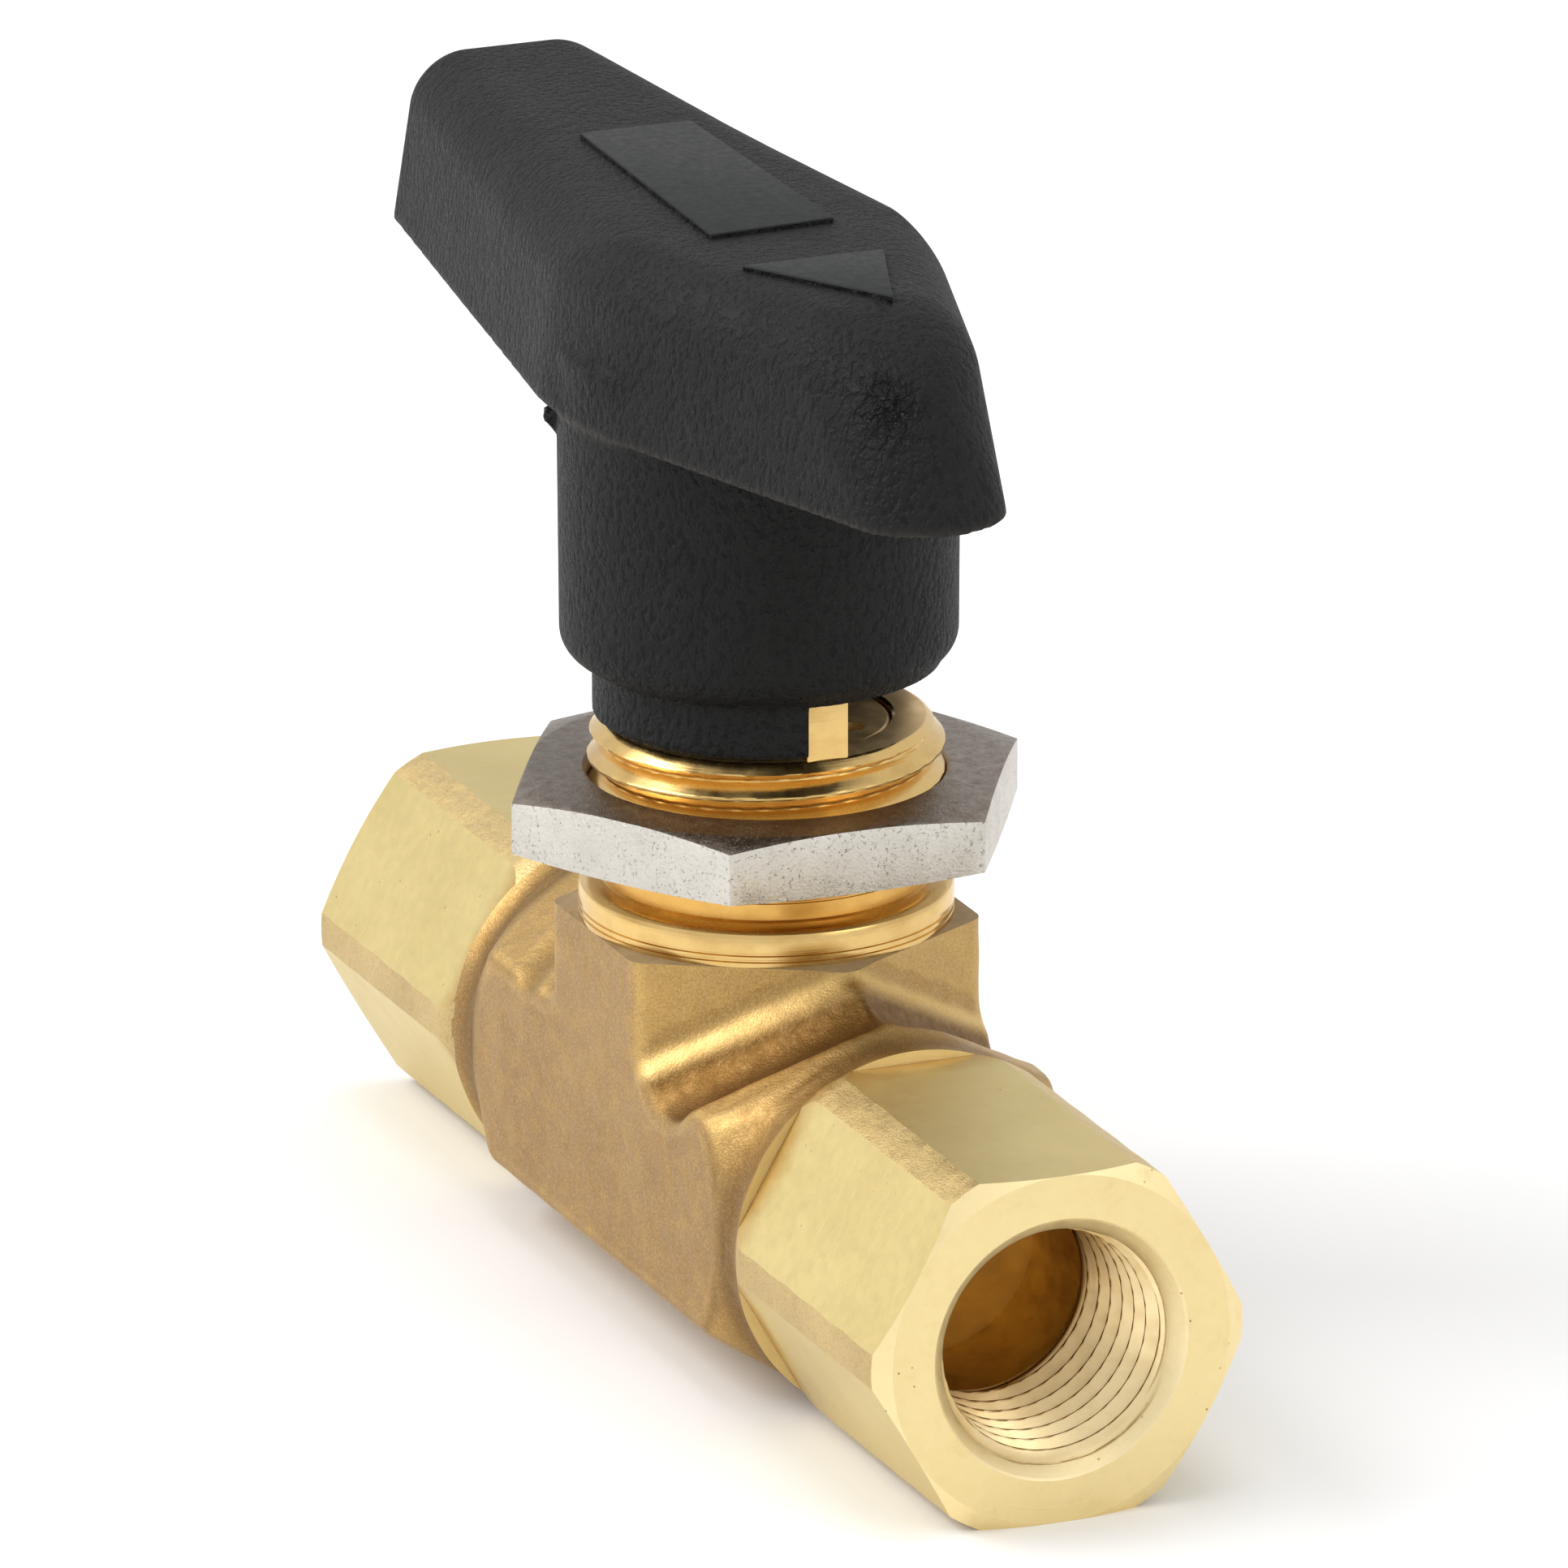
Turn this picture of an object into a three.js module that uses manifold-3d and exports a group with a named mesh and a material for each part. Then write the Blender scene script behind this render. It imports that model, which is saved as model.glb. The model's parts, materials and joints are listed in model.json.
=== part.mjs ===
// Quarter-turn ball valve with female pipe ports, a panel-mounting neck and a lever handle.
// Millimetres, +Z up. X is the flow axis and Z is the stem axis. The origin is on the plane
// that the hexagonal ends rest on, under the stem axis.
import * as THREE from 'three';
import { mergeVertices } from 'three/addons/utils/BufferGeometryUtils.js';
import Module from 'manifold-3d';

const wasm = await Module();
wasm.setup();

// ---- driving dimensions ----------------------------------------------------------------
const HEX_AF = 19.05;                 // across the milled flats of both ends
const FLOW_Z = HEX_AF / 2;            // height of the flow axis
const HALF_LENGTH = 40;               // stem axis to either end face
const HEX_INNER_X = 20.3;             // inner end of the milled flats
const END_CHAMFER = 0.75;             // axial length of the chamfer on each end face
const STRIP_R = 10.5;                 // forged radius left at the corners of the hexagon
const WAIST_R = 9.9;                  // forged waist beside each end
const CENTRE_R = 10.8;                // forged centre section, about the flow axis
const CENTRE_HALF = 16.5;             // half length of the centre section
const CENTRE_CLEARANCE = 0.2;         // the centre section stays this far above the base
const PANEL_Y = 10.1;                 // flat sides of the centre section and the column
const COLUMN_TOP = 11.9;              // heights from here on are above the flow axis
const COLLAR_R = 10.1;
const COLLAR_TOP = 13.7;
const NECK_GROOVE_R = 8.9;            // thread relief between the collar and the thread
const THREAD_BOTTOM = 15.0;
const THREAD_R = 9.525;               // panel thread, 19.05 across the crests
const NECK_TOP = 22.9;
const RIM_R = 8.6;
const POST_WIDTH = 2.4;               // stop post on the neck's rim
const POST_OUTER = 8.9;
const POST_INNER = 7.0;
const POST_TOP = 26.6;
const CAVITY_R = 6.2;                 // vertical chamber for the ball and the packing
const CAVITY_FLOOR = -6.2;
const PACKING_THREAD_R = 6.75;        // tapped zone for the packing nut
const PACKING_THREAD_BOTTOM = 17.0;
const FLOW_R = 2.8;
const POCKET_R = 4.7;                 // seat pockets on both sides of the chamber
const POCKET_END = 11.2;
const PORT_FLOOR_X = 22.5;
const PORT_RELIEF_R = 5.9;
const PORT_THREAD_END_X = 28.8;
const PORT_SMALL_R = 5.95;            // taper thread, small end and mouth
const PORT_MOUTH_R = 6.5;
const COUNTERSINK_R = 7.1;
const COUNTERSINK_DEPTH = 0.9;

const BALL_R = 5.5;
const BALL_FLAT = 5.0;                // the ball is cut flat this far below its centre
const STEM_R = 3.0;
const STEM_TOP = 37.8;
const DRIVE_BOTTOM = 27.6;            // two flats on the stem above this height
const DRIVE_HALF = 2.1;

const PANEL_NUT_AF = 25.4;
const PANEL_NUT_BOTTOM = 16.6;
const PANEL_NUT_HEIGHT = 3.5;
const PANEL_NUT_BORE = 9.85;

const SKIRT_BOTTOM = 23.2;            // handle, heights above the flow axis
const SKIRT_R = 9.3;
const SKIRT_INNER_R = 7.2;
const SKIRT_SHOULDER = 25.1;
const NOTCH_TOP = 27.0;
const HUB_R = 10.55;
const WING_BOTTOM = 40.95;
const WING_TOP = 50.2;
const WING_HALF_WIDTH = 11.0;         // at the stem axis, along the underside
const TAIL_X = -40;
const TAIL_HALF_WIDTH = 5.4;
const NOSE_X = 27.0;
const NOSE_R = 4.4;
const WALL_DRAFT = 1.0;               // the side walls lean in by this up to the shoulder
const SHOULDER_R = 3.2;               // rounding between the walls and the top
const TAIL_SHARE = 0.5;               // share of that rounding which the tail end gets
const TOP_FRONT_X = 18.8;             // where the top starts to fall towards the nose
const PLATE_HEIGHT = 0.3;             // raised label plate and arrow on the top
const SCREW_Z = 33.5;
const SCREW_R = 1.9;
const FIT_GAP = 0.15;                 // working gap beside the post, the stem and the screw

const ROUND = 48;                     // facets of the large turned pieces
const SMALL = 28;                     // facets of the small turned pieces

// ---- colours ---------------------------------------------------------------------------
const finish = (color, roughness, metalness) => () =>
  new THREE.MeshStandardMaterial({ color, roughness, metalness });
const brass = finish(0xd9b56a, 0.32, 1);
const nickel = finish(0xc4c0ba, 0.45, 1);
const steel = finish(0xb4b6b8, 0.3, 1);
const blackNylon = finish(0x2c2d2c, 0.6, 0);
const ptfe = finish(0xece9e0, 0.5, 0);
const rubber = finish(0x1b1b1b, 0.7, 0);

// ---- shape helpers ---------------------------------------------------------------------
function solid(geometry) {
  const bare = geometry.clone();
  bare.deleteAttribute('normal');
  bare.deleteAttribute('uv');
  const merged = mergeVertices(bare, 1e-5);
  return new wasm.Manifold(new wasm.Mesh({
    numProp: 3,
    vertProperties: new Float32Array(merged.attributes.position.array),
    triVerts: new Uint32Array(merged.index.array),
  }));
}

function geometryOf(manifold) {
  const mesh = manifold.getMesh();
  const geometry = new THREE.BufferGeometry();
  geometry.setAttribute('position', new THREE.BufferAttribute(new Float32Array(mesh.vertProperties), 3));
  geometry.setIndex(new THREE.BufferAttribute(new Uint32Array(mesh.triVerts), 1));
  geometry.computeVertexNormals();
  return geometry;
}

function signedArea(points) {
  let sum = 0;
  points.forEach(([r, z], i) => {
    const [r2, z2] = points[(i + 1) % points.length];
    sum += r * z2 - r2 * z;
  });
  return sum / 2;
}

// Solid of revolution about Z through a closed loop of [radius, height] points. A loop that
// touches the axis starts and ends on it.
function turned(points, facets = SMALL) {
  const outward = signedArea(points) > 0 ? points : [...points].reverse();
  const loop = outward.map(([r, z]) => new THREE.Vector2(r, z));
  const onAxis = outward[0][0] === 0;
  if (!onAxis) {
    loop.push(loop[0].clone());
  }
  const geometry = new THREE.LatheGeometry(loop, facets);
  geometry.rotateX(Math.PI / 2);
  return solid(geometry);
}

// The same about X: [radius, x] points, turned from +Z to +X.
function turnedAlongX(points, facets = SMALL) {
  return turned(points, facets).rotate([0, 90, 0]);
}

const ring = (inner, outer, bottom, top) => turned([
  [inner, bottom], [outer, bottom], [outer, top], [inner, top],
]);

const disc = (radius, bottom, top, facets = SMALL) => turned([
  [0, bottom], [radius, bottom], [radius, top], [0, top],
], facets);

function box(low, high) {
  const size = high.map((value, i) => value - low[i]);
  const centre = high.map((value, i) => (value + low[i]) / 2);
  const geometry = new THREE.BoxGeometry(...size);
  geometry.translate(...centre);
  return solid(geometry);
}

function prism(points, bottom, top) {
  const shape = new THREE.Shape(points.map(([x, y]) => new THREE.Vector2(x, y)));
  const geometry = new THREE.ExtrudeGeometry(shape, { depth: top - bottom, bevelEnabled: false });
  geometry.translate(0, 0, bottom);
  return solid(geometry);
}

// Corners of a regular hexagon with two flats facing along Y.
function hexagon(acrossFlats) {
  const radius = acrossFlats / 2 / Math.cos(Math.PI / 6);
  return [0, 1, 2, 3, 4, 5].map((i) => {
    const angle = (i * Math.PI) / 3;
    return [radius * Math.cos(angle), radius * Math.sin(angle)];
  });
}

const group = new THREE.Group();

function add(name, manifold, material) {
  const mesh = new THREE.Mesh(geometryOf(manifold), material());
  mesh.name = name;
  mesh.position.z = FLOW_Z;
  group.add(mesh);
}

// ---- body: everything below is about the flow axis, which is lifted by FLOW_Z at the end ----
function forging() {
  const blend = 1.9;
  const profile = [[0, -HALF_LENGTH]];
  for (const side of [-1, 1]) {
    const half = [
      [STRIP_R, HALF_LENGTH], [STRIP_R, HEX_INNER_X], [WAIST_R, HEX_INNER_X - 1],
      [WAIST_R, CENTRE_HALF + blend], [CENTRE_R, CENTRE_HALF],
    ];
    const placed = half.map(([r, x]) => [r, side * x]);
    profile.push(...(side < 0 ? placed : placed.reverse()));
  }
  profile.push([0, HALF_LENGTH]);
  const round = turnedAlongX(profile, ROUND);
  const low = CENTRE_CLEARANCE - FLOW_Z;
  const centreLimit = box([-HEX_INNER_X, -PANEL_Y, low], [HEX_INNER_X, PANEL_Y, 20]);
  const ends = box([-60, -20, -20], [60, 20, 20])
    .subtract(box([-HEX_INNER_X, -21, -21], [HEX_INNER_X, 21, 21]));
  const column = prism(hexagon(2 * PANEL_Y), -4, COLUMN_TOP);
  return round.intersect(centreLimit).add(round.intersect(ends)).add(column);
}

function milledEnds() {
  const flats = prism(hexagon(HEX_AF), -HALF_LENGTH, HALF_LENGTH).rotate([0, 0, 90]).rotate([0, 90, 0]);
  const centre = box([-HEX_INNER_X, -20, -20], [HEX_INNER_X, 20, 20]);
  const faceR = HEX_AF / 2;
  const slope = END_CHAMFER * Math.tan(Math.PI / 3);
  const chamfer = turnedAlongX([
    [0, -HALF_LENGTH], [faceR, -HALF_LENGTH], [faceR + slope, END_CHAMFER - HALF_LENGTH],
    [faceR + slope + 10, END_CHAMFER - HALF_LENGTH], [faceR + slope + 10, HALF_LENGTH - END_CHAMFER],
    [faceR + slope, HALF_LENGTH - END_CHAMFER], [faceR, HALF_LENGTH], [0, HALF_LENGTH],
  ], ROUND);
  return flats.add(centre).intersect(chamfer);
}

function neck() {
  return turned([
    [0, 0], [COLLAR_R, 0], [COLLAR_R, COLLAR_TOP - 0.3], [COLLAR_R - 0.3, COLLAR_TOP],
    [NECK_GROOVE_R, COLLAR_TOP], [NECK_GROOVE_R, THREAD_BOTTOM - 0.6], [THREAD_R, THREAD_BOTTOM],
    [THREAD_R, NECK_TOP - 1], [RIM_R, NECK_TOP], [0, NECK_TOP],
  ], ROUND).intersect(box([-20, -20, 4], [20, 20, 60]));
}

function flowPassage() {
  const profile = [[0, -HALF_LENGTH - 1]];
  const half = [
    [COUNTERSINK_R, HALF_LENGTH + 1], [COUNTERSINK_R, HALF_LENGTH],
    [PORT_MOUTH_R, HALF_LENGTH - COUNTERSINK_DEPTH], [PORT_SMALL_R, PORT_THREAD_END_X],
    [PORT_RELIEF_R, PORT_THREAD_END_X], [PORT_RELIEF_R, PORT_FLOOR_X],
    [FLOW_R, PORT_FLOOR_X], [FLOW_R, POCKET_END], [POCKET_R, POCKET_END],
  ];
  profile.push(...half.map(([r, x]) => [r, -x]));
  profile.push(...half.reverse());
  profile.push([0, HALF_LENGTH + 1]);
  return turnedAlongX(profile, ROUND);
}

function chamber() {
  return turned([
    [0, CAVITY_FLOOR], [CAVITY_R, CAVITY_FLOOR], [CAVITY_R, PACKING_THREAD_BOTTOM],
    [PACKING_THREAD_R, PACKING_THREAD_BOTTOM], [PACKING_THREAD_R, NECK_TOP + 1], [0, NECK_TOP + 1],
  ], ROUND);
}

function valveBody() {
  const half = POST_WIDTH / 2;
  const post = box([POST_INNER, -half, NECK_TOP - 1], [POST_OUTER, half, POST_TOP]);
  return forging().intersect(milledEnds()).add(neck()).add(post)
    .subtract(flowPassage()).subtract(chamber());
}

// ---- stem, seats and packing -------------------------------------------------------------
function ballStem() {
  const arc = [];
  const steps = 9;
  const low = -Math.acos(Math.sqrt(1 - (BALL_FLAT / BALL_R) ** 2));
  const high = Math.acos(STEM_R / BALL_R);
  for (let i = 0; i <= steps; i += 1) {
    const angle = low + ((high - low) * i) / steps;
    arc.push([BALL_R * Math.cos(angle), BALL_R * Math.sin(angle)]);
  }
  const flange = [[STEM_R, 5.8], [5.0, 5.8], [5.0, 7.0], [STEM_R, 7.0]];
  const ringGroove = [[STEM_R, 18.0], [2.3, 18.0], [2.3, 19.8], [STEM_R, 19.8]];
  const body = turned([
    [0, arc[0][1]], ...arc, ...flange, ...ringGroove,
    [STEM_R, STEM_TOP - 0.5], [STEM_R - 0.5, STEM_TOP], [0, STEM_TOP],
  ], ROUND);
  const waterway = turnedAlongX([[0, -9], [FLOW_R, -9], [FLOW_R, 9], [0, 9]], ROUND);
  const away = [-1, 1].map((side) => {
    const edges = [side * DRIVE_HALF, side * 8];
    return box([Math.min(...edges), -8, DRIVE_BOTTOM], [Math.max(...edges), 8, STEM_TOP + 1]);
  });
  return body.subtract(waterway).subtract(away[0]).subtract(away[1]);
}

// The pieces on the inlet side lie towards -X and those on the outlet side towards +X.
function addSeatStack(label, side) {
  const place = (manifold) => (side > 0 ? manifold : manifold.rotate([0, 0, 180]));
  const clearBall = turned([
    [0, -5.75], [2.2, -5.31], [4.07, -4.07], [5.31, -2.2], [5.75, 0],
    [5.31, 2.2], [4.07, 4.07], [2.2, 5.31], [0, 5.75],
  ], ROUND);
  const seat = turnedAlongX([[2.9, 3.7], [4.45, 3.7], [4.45, 7.2], [2.9, 7.2]]);
  add(`seat_${label}`, place(seat.subtract(clearBall)), ptfe);
  const carrier = turnedAlongX([
    [2.9, 7.4], [4.45, 7.4], [4.45, 8.3], [3.55, 8.3], [3.55, 9.9], [2.9, 9.9],
  ]);
  add(`seat_carrier_${label}`, place(carrier), steel);
  add(`seat_o_ring_${label}`, place(turnedAlongX(roundSection(4.13, 9.0, 0.42))), rubber);
  const spring = turnedAlongX([[3.0, 10.1], [4.4, 10.55], [4.4, 10.85], [3.0, 10.4]]);
  add(`seat_disc_spring_${label}`, place(spring), steel);
}

function roundSection(radius, height, half) {
  const points = [];
  const sides = 8;
  for (let i = 0; i < sides; i += 1) {
    const angle = ((i + 0.5) * 2 * Math.PI) / sides;
    points.push([radius + half * Math.cos(angle), height + half * Math.sin(angle)]);
  }
  return points;
}

function addPacking() {
  const bore = STEM_R + FIT_GAP;
  const outer = CAVITY_R - FIT_GAP;
  add('lower_bearing_disc', disc(5.0, -6.0, -5.2), ptfe);
  add('stem_thrust_washer', ring(bore, outer, 7.2, 8.0), ptfe);
  add('packing_ring_lower', turned([[bore, 8.2], [outer, 8.2], [outer, 9.6], [4.6, 9.1], [bore, 9.6]]), ptfe);
  add('packing_ring_upper', turned([[bore, 9.8], [4.6, 9.3], [outer, 9.8], [outer, 11.3], [bore, 11.3]]), ptfe);
  add('packing_gland', ring(bore, outer, 11.5, 13.2), brass);
  add('gland_disc_spring_lower', turned([[3.3, 13.4], [5.9, 14.0], [5.9, 14.35], [3.3, 13.75]]), steel);
  add('gland_disc_spring_upper', turned([[3.3, 14.6], [5.9, 14.5], [5.9, 14.85], [3.3, 14.95]]), steel);
  add('neck_o_ring', turned(roundSection(5.65, 16.2, 0.42)), rubber);
  add('stem_o_ring', turned(roundSection(2.75, 18.5, 0.36)), rubber);
  add('stem_backup_ring', ring(2.45, 3.1, 19.1, 19.6), ptfe);
}

function packingNut() {
  const bore = STEM_R + 0.25;
  const nose = 5.1;
  const thread = PACKING_THREAD_R - FIT_GAP;
  return turned([
    [bore, 15.2], [nose, 15.2], [nose, 17.2], [thread, 17.2], [thread, NECK_TOP - 1.3],
    [thread - 0.5, NECK_TOP - 0.8], [5.7, NECK_TOP - 0.8], [5.7, NECK_TOP - 0.2], [bore, NECK_TOP - 0.2],
  ], ROUND);
}

function panelNut() {
  const top = PANEL_NUT_BOTTOM + PANEL_NUT_HEIGHT;
  const cornerR = PANEL_NUT_AF / 2 / Math.cos(Math.PI / 6);
  const blank = prism(hexagon(PANEL_NUT_AF), PANEL_NUT_BOTTOM, top).rotate([0, 0, 30]);
  const flatR = PANEL_NUT_AF / 2 - 0.2;
  const drop = (cornerR + 0.1 - flatR) * Math.tan(Math.PI / 9);
  const rounded = turned([
    [0, PANEL_NUT_BOTTOM], [cornerR + 0.1, PANEL_NUT_BOTTOM], [cornerR + 0.1, top - drop],
    [flatR, top], [0, top],
  ], ROUND);
  const bore = turned([
    [0, PANEL_NUT_BOTTOM - 1], [PANEL_NUT_BORE + 0.5, PANEL_NUT_BOTTOM - 1],
    [PANEL_NUT_BORE + 0.5, PANEL_NUT_BOTTOM], [PANEL_NUT_BORE, PANEL_NUT_BOTTOM + 0.4],
    [PANEL_NUT_BORE, top - 0.4], [PANEL_NUT_BORE + 0.5, top], [PANEL_NUT_BORE + 0.5, top + 1], [0, top + 1],
  ], ROUND);
  return blank.intersect(rounded).subtract(bore);
}

// ---- handle ------------------------------------------------------------------------------
// Kite-shaped outline: a round nose, its widest point at the stem axis and a squared tail.
// The walls are moved in by inset.
function wingOutline(inset) {
  const shape = new THREE.Shape();
  const noseCentre = NOSE_X - NOSE_R;
  const wide = WING_HALF_WIDTH - inset;
  const tail = TAIL_HALF_WIDTH - inset;
  const tailX = TAIL_X + inset * TAIL_SHARE;
  const noseR = NOSE_R - inset;
  const lean = Math.asin((WING_HALF_WIDTH - NOSE_R) / Math.hypot(noseCentre, WING_HALF_WIDTH));
  shape.moveTo(tailX, -tail * 0.8);
  shape.lineTo(tailX + 0.8, -tail);
  shape.lineTo(-3, -wide + 0.25);
  shape.lineTo(0, -wide);
  shape.lineTo(2, -wide + 0.4);
  shape.absarc(noseCentre, 0, noseR, lean - Math.PI / 2, Math.PI / 2 - lean, false);
  shape.lineTo(2, wide - 0.4);
  shape.lineTo(0, wide);
  shape.lineTo(-3, wide - 0.25);
  shape.lineTo(tailX + 0.8, tail);
  shape.lineTo(tailX, tail * 0.8);
  return shape.getPoints(7);
}

// Closed solid through outlines of equal point count, each at its own height.
function loft(levels) {
  const count = levels[0].outline.length;
  const positions = levels.flatMap(({ outline, z }) => outline.flatMap(({ x, y }) => [x, y, z]));
  const faces = [];
  for (let level = 1; level < levels.length; level += 1) {
    for (let i = 0; i < count; i += 1) {
      const a = (level - 1) * count + i;
      const b = (level - 1) * count + ((i + 1) % count);
      faces.push(a, b, b + count, a, b + count, a + count);
    }
  }
  const lid = (level) => THREE.ShapeUtils.triangulateShape(levels[level].outline, [])
    .map((face) => face.map((i) => level * count + i));
  lid(0).forEach(([a, b, c]) => faces.push(a, c, b));
  lid(levels.length - 1).forEach((face) => faces.push(...face));
  const geometry = new THREE.BufferGeometry();
  geometry.setAttribute('position', new THREE.Float32BufferAttribute(positions, 3));
  geometry.setIndex(faces);
  return solid(geometry);
}

function wing() {
  const shoulder = WING_TOP - SHOULDER_R;
  const levels = [{ outline: wingOutline(0), z: WING_BOTTOM }];
  const steps = 6;
  for (let i = 0; i <= steps; i += 1) {
    const angle = (i * Math.PI) / 2 / steps;
    const inset = WALL_DRAFT + SHOULDER_R * (1 - Math.cos(angle));
    levels.push({ outline: wingOutline(inset), z: shoulder + SHOULDER_R * Math.sin(angle) });
  }
  // Seen from the side, the top is level, rounds over and falls to the nose.
  const side = new THREE.Shape();
  side.moveTo(TAIL_X - 1, WING_BOTTOM - 1);
  side.lineTo(TAIL_X - 1, WING_TOP + 1);
  side.lineTo(TOP_FRONT_X - 3, WING_TOP + 1);
  side.lineTo(TOP_FRONT_X - 3, WING_TOP);
  side.quadraticCurveTo(TOP_FRONT_X, WING_TOP, TOP_FRONT_X + 2, WING_TOP - 1.7);
  side.lineTo(NOSE_X - 1.2, WING_BOTTOM + 2.2);
  side.quadraticCurveTo(NOSE_X, WING_BOTTOM + 0.9, NOSE_X + 0.1, WING_BOTTOM - 1);
  side.closePath();
  const profile = new THREE.ExtrudeGeometry(side, { depth: 40, bevelEnabled: false, curveSegments: 5 });
  profile.rotateX(Math.PI / 2);
  profile.translate(0, 20, 0);
  return loft(levels).intersect(solid(profile));
}

function raisedMarks() {
  const bottom = WING_TOP - 1;
  const top = WING_TOP + PLATE_HEIGHT;
  const plate = box([-18.4, -3.3, bottom], [1.8, 3.3, top]);
  const arrow = prism([[8, -4], [18, 0], [8, 4]], bottom, top);
  return plate.add(arrow);
}

function stemSocket() {
  const half = DRIVE_HALF + FIT_GAP;
  const bore = disc(STEM_R + FIT_GAP, SKIRT_BOTTOM, STEM_TOP + 0.3, ROUND);
  return bore.intersect(box([-half, -8, NOTCH_TOP - 0.5], [half, 8, STEM_TOP + 0.3]))
    .add(disc(STEM_R + FIT_GAP, NOTCH_TOP - 0.5, DRIVE_BOTTOM + 0.3, ROUND));
}

function handle() {
  const hub = turned([
    [0, SKIRT_BOTTOM], [SKIRT_R, SKIRT_BOTTOM], [SKIRT_R + 0.05, SKIRT_SHOULDER],
    [HUB_R - 0.6, NOTCH_TOP - 1.2], [HUB_R - 0.1, NOTCH_TOP - 0.5], [HUB_R, NOTCH_TOP],
    [HUB_R + 0.1, WING_BOTTOM + 2], [0, WING_BOTTOM + 2],
  ], ROUND);
  const hollow = disc(SKIRT_INNER_R, SKIRT_BOTTOM - 1, NOTCH_TOP, ROUND);
  // The notch is a quarter turn of the skirt, widened by the post on both sides.
  const edge = -(POST_WIDTH / 2 + FIT_GAP);
  const notch = box([edge, edge, SKIRT_BOTTOM - 1], [20, 20, NOTCH_TOP]);
  const screwHole = turnedAlongX([[0, -20], [SCREW_R + 0.2, -20], [SCREW_R + 0.2, 0], [0, 0]])
    .translate([0, 0, SCREW_Z]);
  return hub.add(wing()).add(raisedMarks())
    .subtract(hollow).subtract(notch).subtract(stemSocket()).subtract(screwHole);
}

function setScrew() {
  const tip = -(DRIVE_HALF + 0.15);
  const end = tip - 5.5;
  const body = turnedAlongX([
    [0, end], [SCREW_R, end], [SCREW_R, tip - 0.8], [SCREW_R - 0.8, tip], [0, tip],
  ]);
  const socket = prism(hexagon(2), end - 1, end + 2).rotate([0, 90, 0]);
  return body.subtract(socket).translate([0, 0, SCREW_Z]);
}

// ---- assembly ------------------------------------------------------------------------------
add('valve_body', valveBody(), brass);
add('panel_nut', panelNut(), nickel);
add('packing_nut', packingNut(), brass);
add('ball_stem', ballStem(), steel);
addSeatStack('inlet', -1);
addSeatStack('outlet', 1);
addPacking();
add('handle', handle(), blackNylon);
add('handle_set_screw', setScrew(), steel);

export default group;
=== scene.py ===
import json
import math

import bpy
import numpy as np
from mathutils import Matrix, Vector


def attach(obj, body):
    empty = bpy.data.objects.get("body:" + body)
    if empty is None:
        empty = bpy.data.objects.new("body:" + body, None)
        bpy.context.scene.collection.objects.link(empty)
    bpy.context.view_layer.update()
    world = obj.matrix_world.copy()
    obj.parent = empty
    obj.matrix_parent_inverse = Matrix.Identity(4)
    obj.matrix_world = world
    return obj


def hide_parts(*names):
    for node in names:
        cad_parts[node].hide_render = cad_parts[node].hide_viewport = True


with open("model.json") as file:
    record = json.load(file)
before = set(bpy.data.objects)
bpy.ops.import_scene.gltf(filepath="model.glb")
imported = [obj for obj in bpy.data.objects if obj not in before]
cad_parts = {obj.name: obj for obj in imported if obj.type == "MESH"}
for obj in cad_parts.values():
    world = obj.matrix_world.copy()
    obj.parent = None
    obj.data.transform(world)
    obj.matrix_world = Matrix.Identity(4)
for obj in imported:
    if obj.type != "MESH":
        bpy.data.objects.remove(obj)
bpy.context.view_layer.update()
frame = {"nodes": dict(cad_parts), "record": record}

# Shapes are worked out in millimetres, with heights measured from the flow axis.
MM = 0.001
COS30 = math.cos(math.pi / 6)
FIELD_STEP = 0.3              # grid of the shapes made from distance fields
CREASE = 55                   # degrees; edges sharper than this are never smoothed

# Body. Distances along the flow axis are measured from the stem axis.
HEX_APOTHEM = 9.525           # of the milled hexagon at both ends
FLOW_Z = HEX_APOTHEM          # the valve rests on the hexagon's lower flats
HALF_LENGTH = 40.0
MILLED_FROM = 20.3
BLOCK_APOTHEM = 10.1          # of the forged block and of the column under the neck
BLOCK_BOTTOM = -9.3
COLUMN_TOP = 11.9
BORE_RADIUS = 2.7
CHAMBER_RADIUS = 6.2

# Ports: floor, relief, tapered thread and countersink.
NPT_PITCH = 1.4112
PORT_FLOOR = 22.5
RELIEF_RADIUS = 5.9
THREAD_FROM = 28.8
MOUTH_FROM = 38.95
MOUTH_RADIUS = 7.18

# Neck, with the panel nut and the stop post.
PANEL_PITCH = 1.5875
COLLAR_RADIUS = 10.1
THREAD_RADIUS = 9.6
THREAD_DEPTH = 0.84
NECK_RELIEF_RADIUS = 8.75
NECK_THREAD_FROM = 16.9
NECK_TOP = 22.9
NUT_APOTHEM = 12.7
NUT_LOW, NUT_HIGH = 16.6, 20.1

# Handle.
WING_TOP = 50.2
WING_BOTTOM = 40.3
WING_NOSE = 27.2
TAIL_RISE = 0.6               # of the lever's lower edge at its tail
SKIRT_RADIUS = 9.3
SKIRT_BOTTOM = 23.2
HUB_RADIUS = 10.68
HUB_BOTTOM = 26.3
NOTCH_EDGE = -1.35
NOTCH_TOP = 27.0
LEVER_SHIFT = (0.14, 0.33)    # of the stem axis, as seen from the hub's own
GATE = (22.4, -1.95, 46.4)
NYLON_IOR = 1.27


# ---- distance-field tools ------------------------------------------------------------------
def both(a, b, r):
    """Intersection of two fields with an edge rounding of radius r."""
    return np.minimum(np.maximum(a, b), -r) + np.hypot(np.maximum(a + r, 0), np.maximum(b + r, 0))


def either(a, b, r):
    """Union of two fields with a fillet of radius r."""
    return -both(-a, -b, r)


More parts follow.
